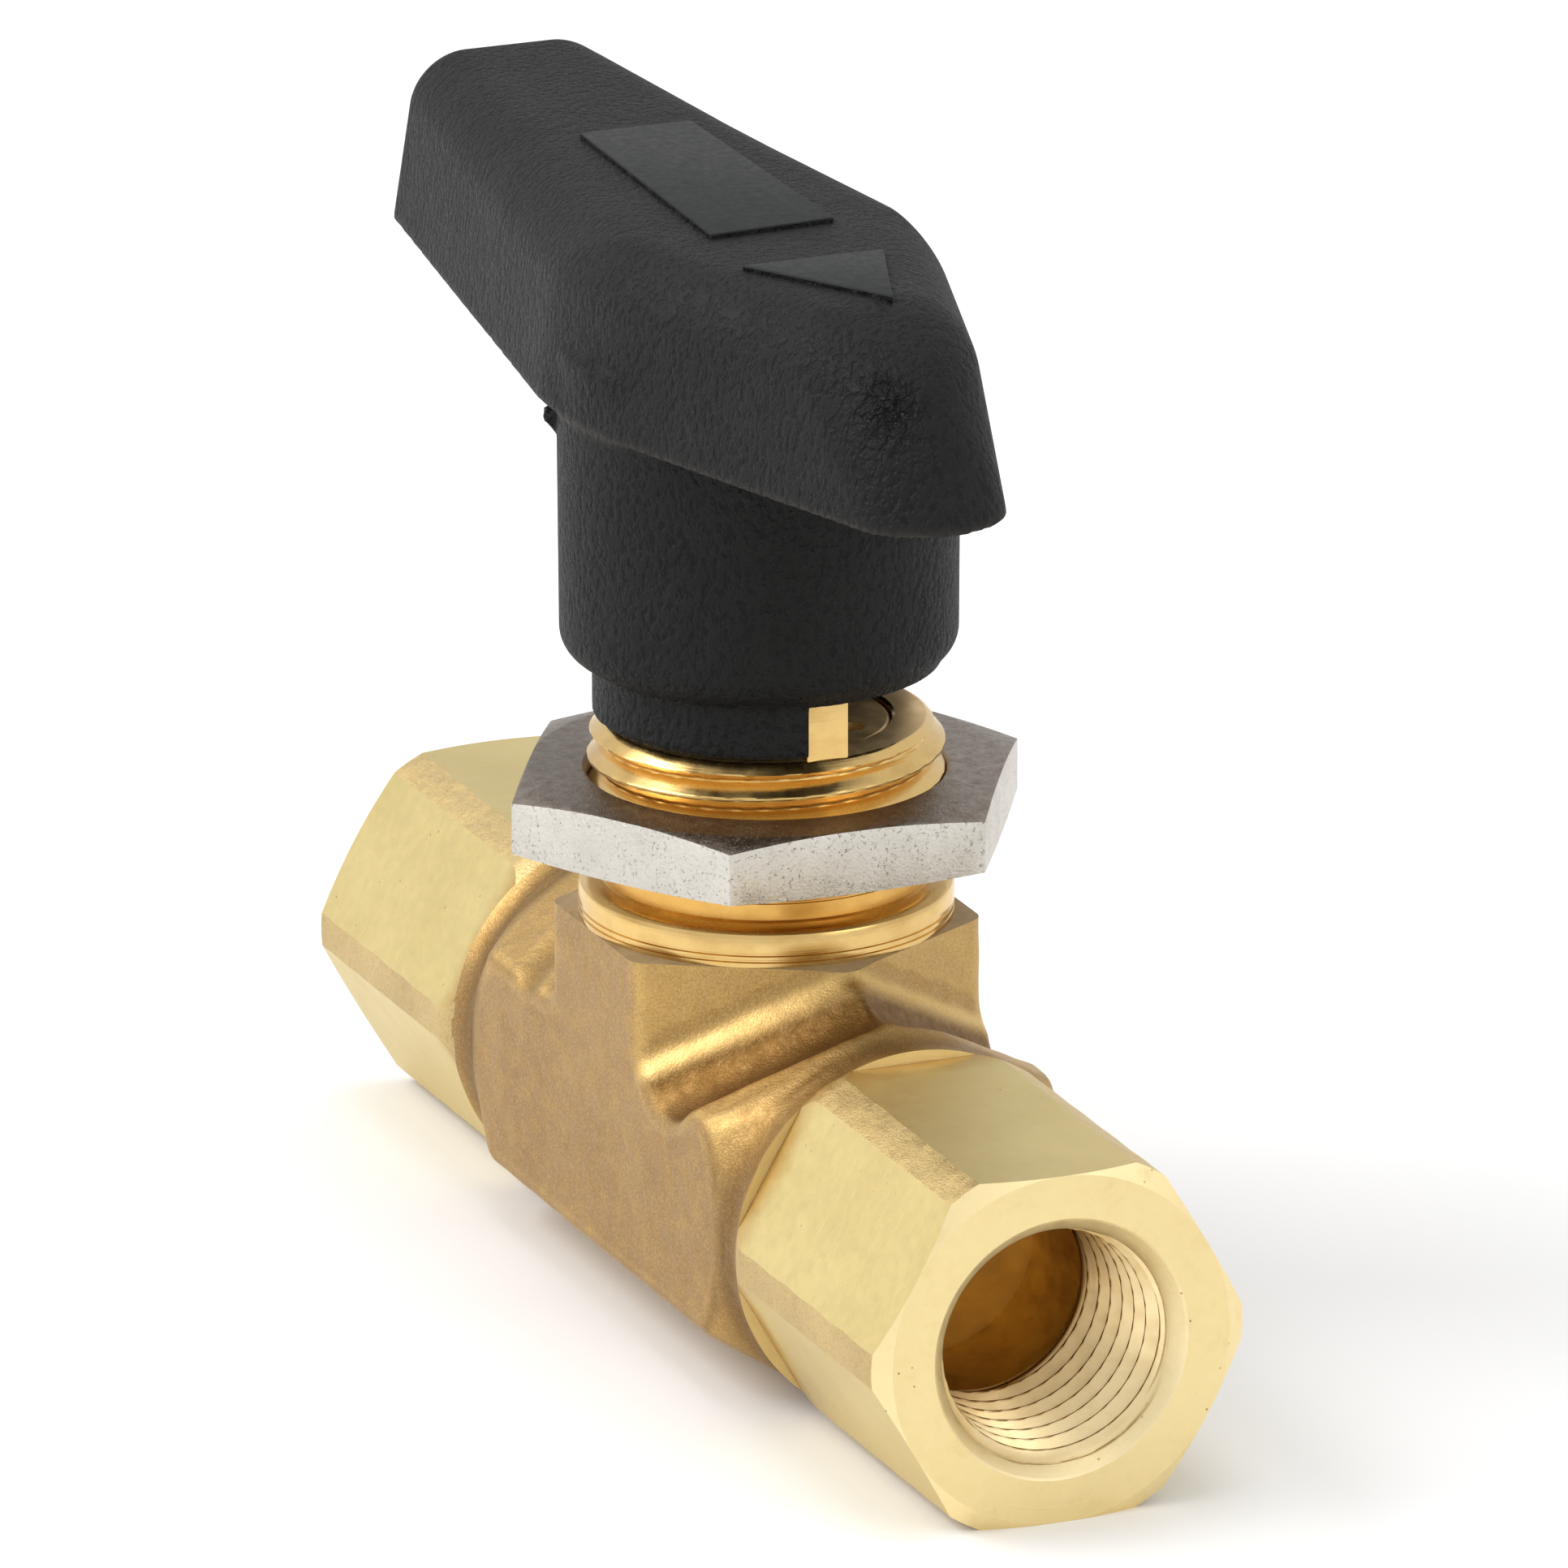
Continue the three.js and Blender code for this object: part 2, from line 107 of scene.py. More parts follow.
def without(a, b, r):
    """Field a cut by field b."""
    return both(a, -b, r)


def surface_net(field_of, low, high, step):
    """Vertices and quads of the zero surface of a distance field.

    Every grid cell that the surface crosses gets one vertex, at the mean of the crossings on its
    edges, and every crossed grid edge one quad between the four cells around it.
    """
    axes = [np.arange(a, b + step, step) for a, b in zip(low, high)]
    field = field_of(axes[0][:, None, None], axes[1][None, :, None], axes[2][None, None, :])
    inside = field < 0
    shape = np.array(field.shape) - 1
    corners = [(i, j, k) for i in (0, 1) for j in (0, 1) for k in (0, 1)]
    count = np.zeros(shape, np.int8)
    for i, j, k in corners:
        count += inside[i : i + shape[0], j : j + shape[1], k : k + shape[2]]
    mixed = (count > 0) & (count < 8)
    index = np.full(shape, -1)
    index[mixed] = np.arange(mixed.sum())
    cells = np.argwhere(mixed)
    total = np.zeros(cells.shape)
    hits = np.zeros(len(cells))
    for a in corners:
        for axis in range(3):
            if a[axis]:
                continue
            b = list(a)
            b[axis] = 1
            fa = field[tuple((cells + a).T)]
            fb = field[tuple((cells + b).T)]
            cross = (fa < 0) != (fb < 0)
            t = np.where(cross, fa / np.where(cross, fa - fb, 1), 0)
            point = np.array(a, float) + t[:, None] * (np.array(b) - a)
            total += point * cross[:, None]
            hits += cross
    verts = np.array(low) + (cells + total / hits[:, None]) * step
    quads = []
    for axis in range(3):
        u, v = (axis + 1) % 3, (axis + 2) % 3
        near = [slice(1, -1)] * 3
        far = [slice(1, -1)] * 3
        near[axis], far[axis] = slice(0, -1), slice(1, None)
        change = inside[tuple(near)] != inside[tuple(far)]
        at = np.argwhere(change)
        at[:, u] += 1
        at[:, v] += 1
        ring = []
        for du, dv in ((-1, -1), (0, -1), (0, 0), (-1, 0)):
            cell = at.copy()
            cell[:, u] += du
            cell[:, v] += dv
            ring.append(index[tuple(cell.T)])
        quad = np.stack(ring, 1)
        flip = ~inside[tuple(at.T)]
        quad[flip] = quad[flip][:, ::-1]
        quads.append(quad)
    return verts, np.concatenate(quads)


def gradient(field_of, v, h=0.02):
    """Gradient of a field at some points, by central differences."""
    g = np.empty(v.shape)
    for axis in range(3):
        d = np.zeros(3)
        d[axis] = h
        g[:, axis] = field_of(*(v + d).T) - field_of(*(v - d).T)
    return g / (2 * h)


def settle(field_of, v, rounds=2):
    """Moves points to the zero surface with Newton steps."""
    for _ in range(rounds):
        g = gradient(field_of, v)
        size = np.maximum((g * g).sum(1), 0.05)
        v = v - np.clip(field_of(*v.T) / size, -0.2, 0.2)[:, None] * g
    return v


def relaxed(field_of, v, quads, rounds=3):
    """Evens out the quads along the surface."""
    a = quads.ravel()
    b = np.roll(quads, -1, 1).ravel()
    for _ in range(rounds):
        total = np.stack([np.bincount(a, v[b, k], len(v)) + np.bincount(b, v[a, k], len(v))
                          for k in range(3)], 1)
        hits = np.bincount(a, minlength=len(v)) + np.bincount(b, minlength=len(v))
        v = settle(field_of, v + 0.6 * (total / hits[:, None] - v), 1)
    return settle(field_of, v, 1)


def field_mesh(name, field_of, low, high):
    verts, quads = surface_net(field_of, low, high, FIELD_STEP)
    return mesh_object(name, relaxed(field_of, settle(field_of, verts), quads), quads)


# ---- mesh tools --------------------------------------------------------------------------------
def mesh_object(name, verts, faces):
    """Object from vertices in millimetres, with heights from the flow axis."""
    mesh = bpy.data.meshes.new(name)
    placed = (np.asarray(verts, float) + (0, 0, FLOW_Z)) * MM
    mesh.from_pydata(placed.tolist(), [], [list(map(int, f)) for f in faces])
    mesh.validate()
    obj = bpy.data.objects.new(name, mesh)
    bpy.context.scene.collection.objects.link(obj)
    return obj


def lathe(name, rows, facets, along_x=False, radius=None):
    """Closed solid from (radius, height) rows; radius(r, h, angle) may reshape a row."""
    n = facets
    angle = np.arange(n) * 2 * math.pi / n
    verts = []
    for r, h in rows:
        ring = np.full(n, float(r))
        if radius:
            ring = radius(ring, h, angle)
        a, b, c = ring * np.cos(angle), ring * np.sin(angle), np.full(n, float(h))
        verts.append(np.stack([c, a, b] if along_x else [a, b, c], 1))
    caps = [[0.0, 0.0, h] for h in (rows[0][1], rows[-1][1])]
    if along_x:
        caps = [cap[::-1] for cap in caps]
    verts = np.concatenate(verts + [np.array(caps)])
    faces = []
    for i in range(len(rows) - 1):
        for j in range(n):
            k = (j + 1) % n
            faces.append((i * n + j, i * n + k, (i + 1) * n + k, (i + 1) * n + j))
    bottom, top = len(verts) - 2, len(verts) - 1
    last = (len(rows) - 1) * n
    for j in range(n):
        k = (j + 1) % n
        faces.append((bottom, k, j))
        faces.append((top, last + j, last + k))
    return mesh_object(name, verts, faces)


def tube(name, rows, facets):
    """Ring solid about Z from a closed loop of (radius, height) rows."""
    angle = np.arange(facets) * 2 * math.pi / facets
    verts = [[r * math.cos(t), r * math.sin(t), h] for r, h in rows for t in angle]
    faces = []
    for i in range(len(rows)):
        for j in range(facets):
            k = (j + 1) % facets
            m = (i + 1) % len(rows)
            faces.append((i * facets + j, i * facets + k, m * facets + k, m * facets + j))
    return mesh_object(name, verts, faces)


def prism(name, outline, low, high, axis=2):
    """Solid between two parallel copies of an outline, along the given axis."""
    n = len(outline)
    order = [(axis + 1) % 3, (axis + 2) % 3, axis]
    verts = np.zeros((2 * n, 3))
    for i, (a, b) in enumerate(outline):
        for j, level in enumerate((low, high)):
            verts[i + j * n, order] = (a, b, level)
    faces = [tuple(range(n))[::-1], tuple(range(n, 2 * n))]
    faces += [(i, (i + 1) % n, n + (i + 1) % n, n + i) for i in range(n)]
    return mesh_object(name, verts, faces)


def block(name, low, high):
    """Box between two corners."""
    outline = [(low[0], low[1]), (high[0], low[1]), (high[0], high[1]), (low[0], high[1])]
    return prism(name, outline, low[2], high[2])


def hexagon(apothem):
    """Hexagon with two of its corners on the second axis."""
    radius = apothem / COS30
    corners = [math.pi / 6 + i * math.pi / 3 for i in range(6)]
    return [(radius * math.cos(t), radius * math.sin(t)) for t in corners]


def bake(obj):
    """Applies the modifiers of an object to its mesh."""
    seen = bpy.context.evaluated_depsgraph_get()
    mesh = bpy.data.meshes.new_from_object(obj.evaluated_get(seen))
    obj.modifiers.clear()
    old, obj.data = obj.data, mesh
    bpy.data.meshes.remove(old)
    return obj


def bevelled(obj, width, angle=30):
    """Rounds the edges of an object that are sharper than angle."""
    bevel = obj.modifiers.new("bevel", "BEVEL")
    bevel.width = width * MM
    bevel.segments = 2
    bevel.limit_method = "ANGLE"
    bevel.angle_limit = math.radians(angle)
    return bake(obj)


def combine(obj, other, operation):
    """Joins or cuts obj with other, which is used up."""
    step = obj.modifiers.new("step", "BOOLEAN")
    step.solver = "MANIFOLD"
    step.operation = operation
    step.object = other
    bake(obj)
    used = other.data
    bpy.data.objects.remove(other)
    bpy.data.meshes.remove(used)
    return obj


def face_data(mesh):
    """Centres, in millimetres, and normals of the faces."""
    n = len(mesh.polygons)
    centre = np.zeros(3 * n)
    normal = np.zeros(3 * n)
    mesh.polygons.foreach_get("center", centre)
    mesh.polygons.foreach_get("normal", normal)
    centre = centre.reshape(-1, 3) / MM - (0, 0, FLOW_Z)
    return centre, normal.reshape(-1, 3)


def finish_mesh(obj, classes, soft, materials, angle):
    """Sets the material of every face, and marks edges as sharp.

    Sharp are the edges between finishes, and those above angle, except between two faces of the
    soft classes, where only those above CREASE are.
    """
    mesh = obj.data
    mesh.materials.clear()
    for material in materials:
        mesh.materials.append(material)
    mesh.polygons.foreach_set("material_index", classes.astype(np.int32))
    mesh.polygons.foreach_set("use_smooth", np.ones(len(mesh.polygons), bool))
    edge = np.zeros(len(mesh.loops), np.int32)
    mesh.loops.foreach_get("edge_index", edge)
    sizes = np.zeros(len(mesh.polygons), np.int32)
    mesh.polygons.foreach_get("loop_total", sizes)
    face = np.repeat(np.arange(len(sizes)), sizes)
    order = np.argsort(edge, kind="stable")
    edge, face = edge[order], face[order]
    pair = edge[:-1] == edge[1:]
    which, one, two = edge[:-1][pair], face[:-1][pair], face[1:][pair]
    _, normal = face_data(mesh)
    turn = (normal[one] * normal[two]).sum(1)
    is_soft = np.isin(classes[one], soft) & np.isin(classes[two], soft)
    corner = (classes[one] != classes[two]) | (turn < math.cos(math.radians(angle)))
    sharp = np.zeros(len(mesh.edges), bool)
    sharp[which] = (corner & ~is_soft) | (turn < math.cos(math.radians(CREASE)))
    mesh.attributes.new("sharp_edge", "BOOLEAN", "EDGE").data.foreach_set("value", sharp)
    mesh.update()


def store(obj, name, values):
    """Keeps a value per vertex for the materials."""
    attribute = obj.data.attributes.new(name, "FLOAT", "POINT")
    attribute.data.foreach_set("value", values.astype(np.float32))


def vertices_of(obj):
    """Vertices in millimetres, with heights from the flow axis."""
    co = np.zeros(3 * len(obj.data.vertices))
    obj.data.vertices.foreach_get("co", co)
    return co.reshape(-1, 3) / MM - (0, 0, FLOW_Z)


# ---- materials ---------------------------------------------------------------------------------
class Shader:
    """A small builder for procedural materials; lengths are in millimetres."""

    def __init__(self, name, metallic, roughness):
        self.material = bpy.data.materials.new(name)
        self.material.use_nodes = True
        self.tree = self.material.node_tree
        self.tree.nodes.clear()
        self.bsdf = self.tree.nodes.new("ShaderNodeBsdfPrincipled")
        out = self.tree.nodes.new("ShaderNodeOutputMaterial")
        self.tree.links.new(self.bsdf.outputs[0], out.inputs[0])
        self.bsdf.inputs["Metallic"].default_value = metallic
        self.bsdf.inputs["Roughness"].default_value = roughness
        coords = self.tree.nodes.new("ShaderNodeTexCoord")
        self.place = self.scaled(coords.outputs["Object"], 1 / MM)
        self.normal = coords.outputs["Normal"]
        self.bumps = None

    def set(self, socket, value):
        if isinstance(value, bpy.types.NodeSocket):
            self.tree.links.new(value, socket)
        elif isinstance(value, (tuple, list)) and len(value) == 3 and socket.type == "RGBA":
            socket.default_value = (*value, 1)
        else:
            socket.default_value = value

    def scaled(self, vector, amount):
        node = self.tree.nodes.new("ShaderNodeVectorMath")
        node.operation = "MULTIPLY"
        self.set(node.inputs[0], vector)
        size = amount if isinstance(amount, tuple) else (amount,) * 3
        node.inputs[1].default_value = size
        return node.outputs[0]

    def noise(self, size, detail=2.0, roughness=0.5, stretch=(1, 1, 1), distortion=0.0):
        """Noise with features of about this size."""
        node = self.tree.nodes.new("ShaderNodeTexNoise")
        scale = tuple(1 / (size * s) for s in stretch)
        self.set(node.inputs["Vector"], self.scaled(self.place, scale))
        node.inputs["Scale"].default_value = 1.0
        node.inputs["Detail"].default_value = detail
        node.inputs["Roughness"].default_value = roughness
        node.inputs["Distortion"].default_value = distortion
        return node.outputs["Fac"]

    def cells(self, size):
        """Distance from the nearest of points scattered about this far apart."""
        node = self.tree.nodes.new("ShaderNodeTexVoronoi")
        self.set(node.inputs["Vector"], self.scaled(self.place, 1 / size))
        node.inputs["Scale"].default_value = 1.0
        return node.outputs["Distance"]

    def lines(self, size, axis):
        """Tool marks: noise along an axis, or of the radius about the flow axis."""
        node = self.tree.nodes.new("ShaderNodeTexNoise")
        node.noise_dimensions = "1D"
        if axis == "radius":
            y = self.math("POWER", self.part(self.place, "Y"), 2.0)
            z = self.math("SUBTRACT", self.part(self.place, "Z"), FLOW_Z)
            value = self.math("SQRT", self.math("ADD", y, self.math("POWER", z, 2.0)))
        else:
            value = self.part(self.place, axis)
        self.set(node.inputs["W"], self.math("DIVIDE", value, size))
        node.inputs["Scale"].default_value = 1.0
        node.inputs["Detail"].default_value = 3.0
        return node.outputs["Fac"]

    def part(self, vector, axis):
        """The X, Y or Z of a vector."""
        node = self.tree.nodes.new("ShaderNodeSeparateXYZ")
        self.set(node.inputs[0], vector)
        return node.outputs["XYZ".index(axis)]

    def attribute(self, name):
        node = self.tree.nodes.new("ShaderNodeAttribute")
        node.attribute_name = name
        return node.outputs["Fac"]

    def math(self, operation, a, b=0.0):
        node = self.tree.nodes.new("ShaderNodeMath")
        node.operation = operation
        self.set(node.inputs[0], a)
        self.set(node.inputs[1], b)
        return node.outputs[0]

    def span(self, value, low, high, to_low=0.0, to_high=1.0):
        """Takes the range from low to high to that from to_low to to_high."""
        node = self.tree.nodes.new("ShaderNodeMapRange")
        for socket, v in zip(node.inputs, (value, low, high, to_low, to_high)):
            self.set(socket, v)
        return node.outputs[0]

    def mix(self, factor, a, b):
        """Mix of two colours; the node's colour sockets come after its other ones."""
        node = self.tree.nodes.new("ShaderNodeMix")
        node.data_type = "RGBA"
        self.set(node.inputs[0], factor)
        self.set(node.inputs[6], a)
        self.set(node.inputs[7], b)
        return node.outputs[2]

    def color(self, value):
        self.set(self.bsdf.inputs["Base Color"], value)

    def rough(self, value):
        self.set(self.bsdf.inputs["Roughness"], value)

    def bump(self, height, depth, strength=1.0):
        """Adds relief of this depth in millimetres."""
        node = self.tree.nodes.new("ShaderNodeBump")
        node.inputs["Strength"].default_value = strength
        node.inputs["Distance"].default_value = depth * MM
        self.set(node.inputs["Height"], height)
        if self.bumps is not None:
            self.set(node.inputs["Normal"], self.bumps)
        self.bumps = node.outputs[0]
        self.set(self.bsdf.inputs["Normal"], self.bumps)


def milled_brass(name, light, olive, marks, rough_low=0.36, rough_high=0.45, stain=0.0):
    """Pale cut brass with faint clouds, few specks and tool marks."""
    s = Shader(name, 1.0, 0.3)
    cloud = s.noise(9.0, 4, 0.6)
    blotch = s.noise(1.3, 5, 0.62)
    base = s.mix(s.span(cloud, 0.35, 0.68), light, olive)
    base = s.mix(s.span(blotch, 0.54, 0.74, 0, 0.22), base, (0.62, 0.46, 0.19))
    if stain:
        # Stained where the cutter ran out against the forging, with a dark line at its very end.
        along = s.math("ABSOLUTE", s.part(s.place, "X"))
        near = s.math("ADD", along, s.math("MULTIPLY", s.noise(2.6, 3), 2.4))
        base = s.mix(s.span(near, 23.4, 21.6, 0, stain), base, (0.50, 0.29, 0.085))
        burr = s.math("ADD", along, s.math("MULTIPLY", blotch, 0.3))
        base = s.mix(s.span(burr, 20.62, 20.45, 0, 0.8), base, (0.26, 0.15, 0.05))
    some = s.span(s.noise(2.0, 2), 0.5, 0.6)
    specks = s.math("MULTIPLY", s.span(s.cells(0.9), 0.09, 0.04), some)
    base = s.mix(specks, base, (0.34, 0.22, 0.09))
    s.color(base)
    s.rough(s.span(s.noise(0.8, 5, 0.65), 0.3, 0.7, rough_low, rough_high))
    s.bump(s.lines(0.12, marks), 0.012, 0.6)
    s.bump(s.noise(0.2, 3), 0.008, 0.5)
    return s.material


def turned_brass(name, base_color, dark, axis, rough_low=0.14, rough_high=0.3, floor_shade=None):
    """Bright turned brass; floor_shade is the painted shade that a port takes on towards its
    floor.
    """
    s = Shader(name, 1.0, 0.25)
    stain = s.noise(3.0, 5, 0.6, stretch=(1, 1, 0.5))
    base = s.mix(s.span(stain, 0.45, 0.75), base_color, dark)
    if floor_shade:
        # Painted shade: the port darkens towards its floor.
        along = s.math("ABSOLUTE", s.part(s.place, "X"))
        base = s.mix(s.span(along, 36.5, 29.5, 0, 0.62), base, floor_shade)
    s.color(base)
    s.rough(s.span(s.noise(1.2, 4), 0.3, 0.7, rough_low, rough_high))
    s.bump(s.lines(0.09, axis), 0.006, 0.55)
    return s.material


def forged_brass(name, light, dark, gold):
    """Grainy brown forging skin with painted shade in its hollows and grooves, gold on its slopes,
    and worn gold with painted highlights on its ridges.
    """
    s = Shader(name, 1.0, 0.5)
    wear_and_groove_shade = s.attribute("wear_and_groove_shade")
    cloud = s.noise(6.0, 5, 0.6, distortion=0.4)
    patch = s.noise(1.4, 4, 0.65)
    grit = s.noise(0.13, 2, 0.7)
    skin = s.mix(s.span(cloud, 0.35, 0.66), light, dark)
    skin = s.mix(s.span(patch, 0.48, 0.68, 0, 0.4), skin, gold)
    slanted = s.span(s.math("ABSOLUTE", s.part(s.normal, "Y")), 0.95, 0.8)
    golden = s.math("MULTIPLY", slanted, s.span(patch, 0.3, 0.6, 0.45, 0.8))
    skin = s.mix(golden, skin, gold)
    # Ridges worn to gold: partly the real worn brass and partly a painted highlight.
    rubbed_and_highlight = s.math("MULTIPLY", s.span(wear_and_groove_shade, 0.08, 0.7), s.span(patch, 0.25, 0.6, 0.5, 1.0))
    skin = s.mix(s.span(rubbed_and_highlight, 0, 1, 0, 0.2), skin, (0.74, 0.52, 0.21))
    # Painted shade in the grooves, where the surface bends inwards.
    skin = s.mix(s.span(wear_and_groove_shade, -0.06, -0.5, 0, 0.5), skin, (0.30, 0.165, 0.05))
    # Painted shade in the channels and waists; it also dims the painted glints below.
    hollow = s.math("MULTIPLY", s.attribute("hollow"), s.span(patch, 0.3, 0.6, 0.75, 0.95))
    skin = s.mix(hollow, skin, (0.15, 0.073, 0.018))
    # Painted highlight along the ridge beside each channel.
    skin = s.mix(s.math("MULTIPLY", s.attribute("ridge"), 0.75), skin, (0.82, 0.58, 0.225))
    # Painted glints: bright grit flecks, dimmed by the painted shade in the hollows.
    painted_grit_glints = s.math("MULTIPLY", s.span(grit, 0.5, 0.66, 0, 0.3), s.span(hollow, 0, 1, 1.0, 0.3))
    skin = s.mix(painted_grit_glints, skin, (0.74, 0.54, 0.24))
    skin = s.mix(s.span(grit, 0.46, 0.34, 0, 0.3), skin, (0.24, 0.145, 0.06))
    s.color(skin)
    rough = s.span(s.noise(0.7, 4), 0.3, 0.7, 0.48, 0.62)
    s.rough(s.math("SUBTRACT", rough, s.math("MULTIPLY", slanted, 0.08)))
    s.bump(grit, 0.045, 0.7)
    s.bump(s.noise(0.8, 4), 0.1, 0.45)
    return s.material


def satin_nickel():
    """Pitted satin plating, darker brown on the upward faces."""
    s = Shader("nickel_plate_satin", 1.0, 0.42)
    cloud = s.noise(3.0, 4, 0.6)
    base = s.mix(s.span(cloud, 0.35, 0.68), (0.66, 0.63, 0.58), (0.57, 0.54, 0.49))
    rub = s.noise(0.35, 4, 0.7, stretch=(1, 1, 0.5))
    base = s.mix(s.span(rub, 0.46, 0.64, 0, 0.5), base, (0.74, 0.71, 0.65))
    # Darker brown, and less rough, on the faces that point upwards.
    facing = s.span(s.part(s.normal, "Z"), 0.6, 0.95)
    upward_darkening = s.math("MULTIPLY", facing, s.span(s.noise(0.8, 5, 0.7), 0.3, 0.65, 0.65, 0.95))
    base = s.mix(upward_darkening, base, (0.135, 0.092, 0.060))
    pits = s.span(s.noise(0.2, 3, 0.8), 0.585, 0.66)
    pits = s.math("MULTIPLY", pits, s.span(s.noise(1.6, 4, 0.65), 0.40, 0.56))
    base = s.mix(s.math("MULTIPLY", pits, 0.75), base, (0.20, 0.16, 0.12))
    s.color(base)
    rough = s.span(rub, 0.35, 0.65, 0.42, 0.58)
    s.rough(s.math("SUBTRACT", rough, s.math("MULTIPLY", upward_darkening, 0.16)))
    s.bump(s.noise(0.15, 3, 0.6), 0.05, 0.9)
    s.bump(s.math("MULTIPLY", pits, -1.0), 0.05, 0.7)
    return s.material


def moulded_nylon():
    """Black grained nylon with a rough gate mark and a paler parting line."""
    s = Shader("black_nylon_grained", 0.0, 0.6)
    cloud = s.noise(5.0, 4, 0.6)
    grain = s.noise(0.42, 2, 0.5, stretch=(1, 1, 1.4))
    fine = s.noise(0.15, 2, 0.6)
    base = s.mix(s.span(cloud, 0.35, 0.65), (0.0060, 0.0062, 0.0060), (0.0095, 0.0098, 0.0095))
    base = s.mix(s.span(grain, 0.42, 0.34, 0, 0.7), base, (0.002, 0.002, 0.002))
    gate = s.attribute("gate")
    base = s.mix(s.math("MULTIPLY", gate, 0.8), base, (0.002, 0.002, 0.002))
    base = s.mix(s.math("MULTIPLY", s.attribute("lip"), 0.42), base, (0.06, 0.052, 0.044))
    s.color(base)
    rough = s.span(fine, 0.35, 0.65, 0.50, 0.68)
    s.rough(s.math("SUBTRACT", rough, s.math("MULTIPLY", gate, 0.22)))
    s.bump(s.noise(2.4, 2), 0.25, 0.4)
    s.bump(s.span(grain, 0.36, 0.56), 0.11, 0.85)
    s.bump(fine, 0.05, 0.6)
    s.bump(s.math("MULTIPLY", gate, s.span(s.noise(0.5, 2, 0.6), 0.35, 0.6)), 0.8, 1.0)
    s.bsdf.inputs["IOR"].default_value = NYLON_IOR
    return s.material


def smooth_nylon():
    s = Shader("black_nylon_smooth", 0.0, 0.6)
    cloud = s.span(s.noise(1.5, 4), 0.3, 0.7)
    s.color(s.mix(cloud, (0.014, 0.015, 0.015), (0.019, 0.020, 0.020)))
    s.rough(s.span(s.noise(0.5, 4), 0.3, 0.7, 0.5, 0.64))
    s.bump(s.noise(0.2, 3), 0.02, 0.5)
    s.bsdf.inputs["IOR"].default_value = NYLON_IOR
    return s.material


def plain_metal(name, base_color, dark):
    s = Shader(name, 1.0, 0.3)
    s.color(s.mix(s.span(s.noise(1.5, 4), 0.35, 0.7), base_color, dark))
    s.rough(s.span(s.noise(0.5, 4), 0.3, 0.7, 0.2, 0.36))
    s.bump(s.lines(0.1, "Z"), 0.004, 0.4)
    return s.material


def dull(name, base_color, dark, rough_low, rough_high):
    """Plain dull finish for seals, plastics and heavy tarnish."""
    s = Shader(name, 0.0, 0.5)
    s.color(s.mix(s.span(s.noise(1.0, 4), 0.35, 0.7), base_color, dark))
    s.rough(s.span(s.noise(0.4, 4), 0.3, 0.7, rough_low, rough_high))
    s.bump(s.noise(0.25, 3), 0.008, 0.4)
    return s.material


FLAT = milled_brass("brass_milled_flats", (0.725, 0.59, 0.268), (0.66, 0.525, 0.225), "X",
                    stain=0.7)
FACE = milled_brass("brass_faced_ends", (0.84, 0.69, 0.365), (0.80, 0.65, 0.335), "radius",
                    0.48, 0.58)
LEDGE = dull("brass_tarnished_ledge", (0.42, 0.31, 0.17), (0.33, 0.23, 0.12), 0.55, 0.7)
NECK = turned_brass("brass_turned_neck", (0.735, 0.505, 0.195), (0.61, 0.385, 0.13), "Z")
PORT = turned_brass("brass_tapped_port", (0.88, 0.71, 0.40), (0.76, 0.56, 0.27), "X", 0.26, 0.38,
                    floor_shade=(0.42, 0.235, 0.075))
MOUTH = milled_brass("brass_countersinks", (0.95, 0.81, 0.49), (0.90, 0.75, 0.42), "X", 0.42, 0.52)
BEVEL = milled_brass("brass_chamfers", (0.92, 0.77, 0.44), (0.88, 0.73, 0.40), "X", 0.48, 0.58)
# Painted reflection: the port's floor takes a strong orange tint for light bounced between the
# port's brass walls.
FLOOR = turned_brass("brass_port_floor", (0.90, 0.55, 0.14), (0.76, 0.44, 0.10), "X", 0.3, 0.45)
# Painted shade: the port's relief, the bore and the chamber take a darker, more orange copy of the
# port's brass.
DEEP = turned_brass("brass_port_relief", (0.62, 0.36, 0.08), (0.42, 0.22, 0.04), "X", 0.3, 0.45)
RIM = turned_brass("brass_rim_tarnished", (0.92, 0.68, 0.35), (0.62, 0.42, 0.19), "Z", 0.45, 0.6)
# Painted reflection: an orange copy of the neck's turned brass, for the brass around the relief
# groove and the thread's roots that they reflect.
RELIEF = turned_brass("brass_neck_relief", (0.74, 0.43, 0.115), (0.60, 0.33, 0.08), "Z",
                      0.24, 0.36)
SKIN = forged_brass("brass_forged_skin", (0.410, 0.262, 0.117), (0.362, 0.225, 0.100),
                    (0.56, 0.36, 0.122))
STRIP = forged_brass("brass_forged_strips", (0.62, 0.475, 0.235), (0.52, 0.39, 0.185),
                     (0.66, 0.50, 0.23))
PLATING = satin_nickel()
NYLON = moulded_nylon()
MARK = smooth_nylon()
INNER = plain_metal("brass_inner", (0.80, 0.56, 0.22), (0.58, 0.36, 0.12))
STEEL = plain_metal("steel_fine_turned", (0.62, 0.62, 0.63), (0.45, 0.45, 0.46))
PTFE = dull("ptfe_waxy", (0.80, 0.79, 0.74), (0.70, 0.69, 0.63), 0.35, 0.5)
RUBBER = dull("rubber_o_ring", (0.018, 0.018, 0.018), (0.03, 0.03, 0.03), 0.45, 0.6)


# ---- valve body --------------------------------------------------------------------------------
def slopes_field(a, b, apothem, edge):
    """The four slopes of a hexagonal bar whose other two flats face along a."""
    slope_one = np.abs(0.5 * a + COS30 * b) - apothem
    slope_two = np.abs(0.5 * a - COS30 * b) - apothem
    return both(slope_one, slope_two, edge)


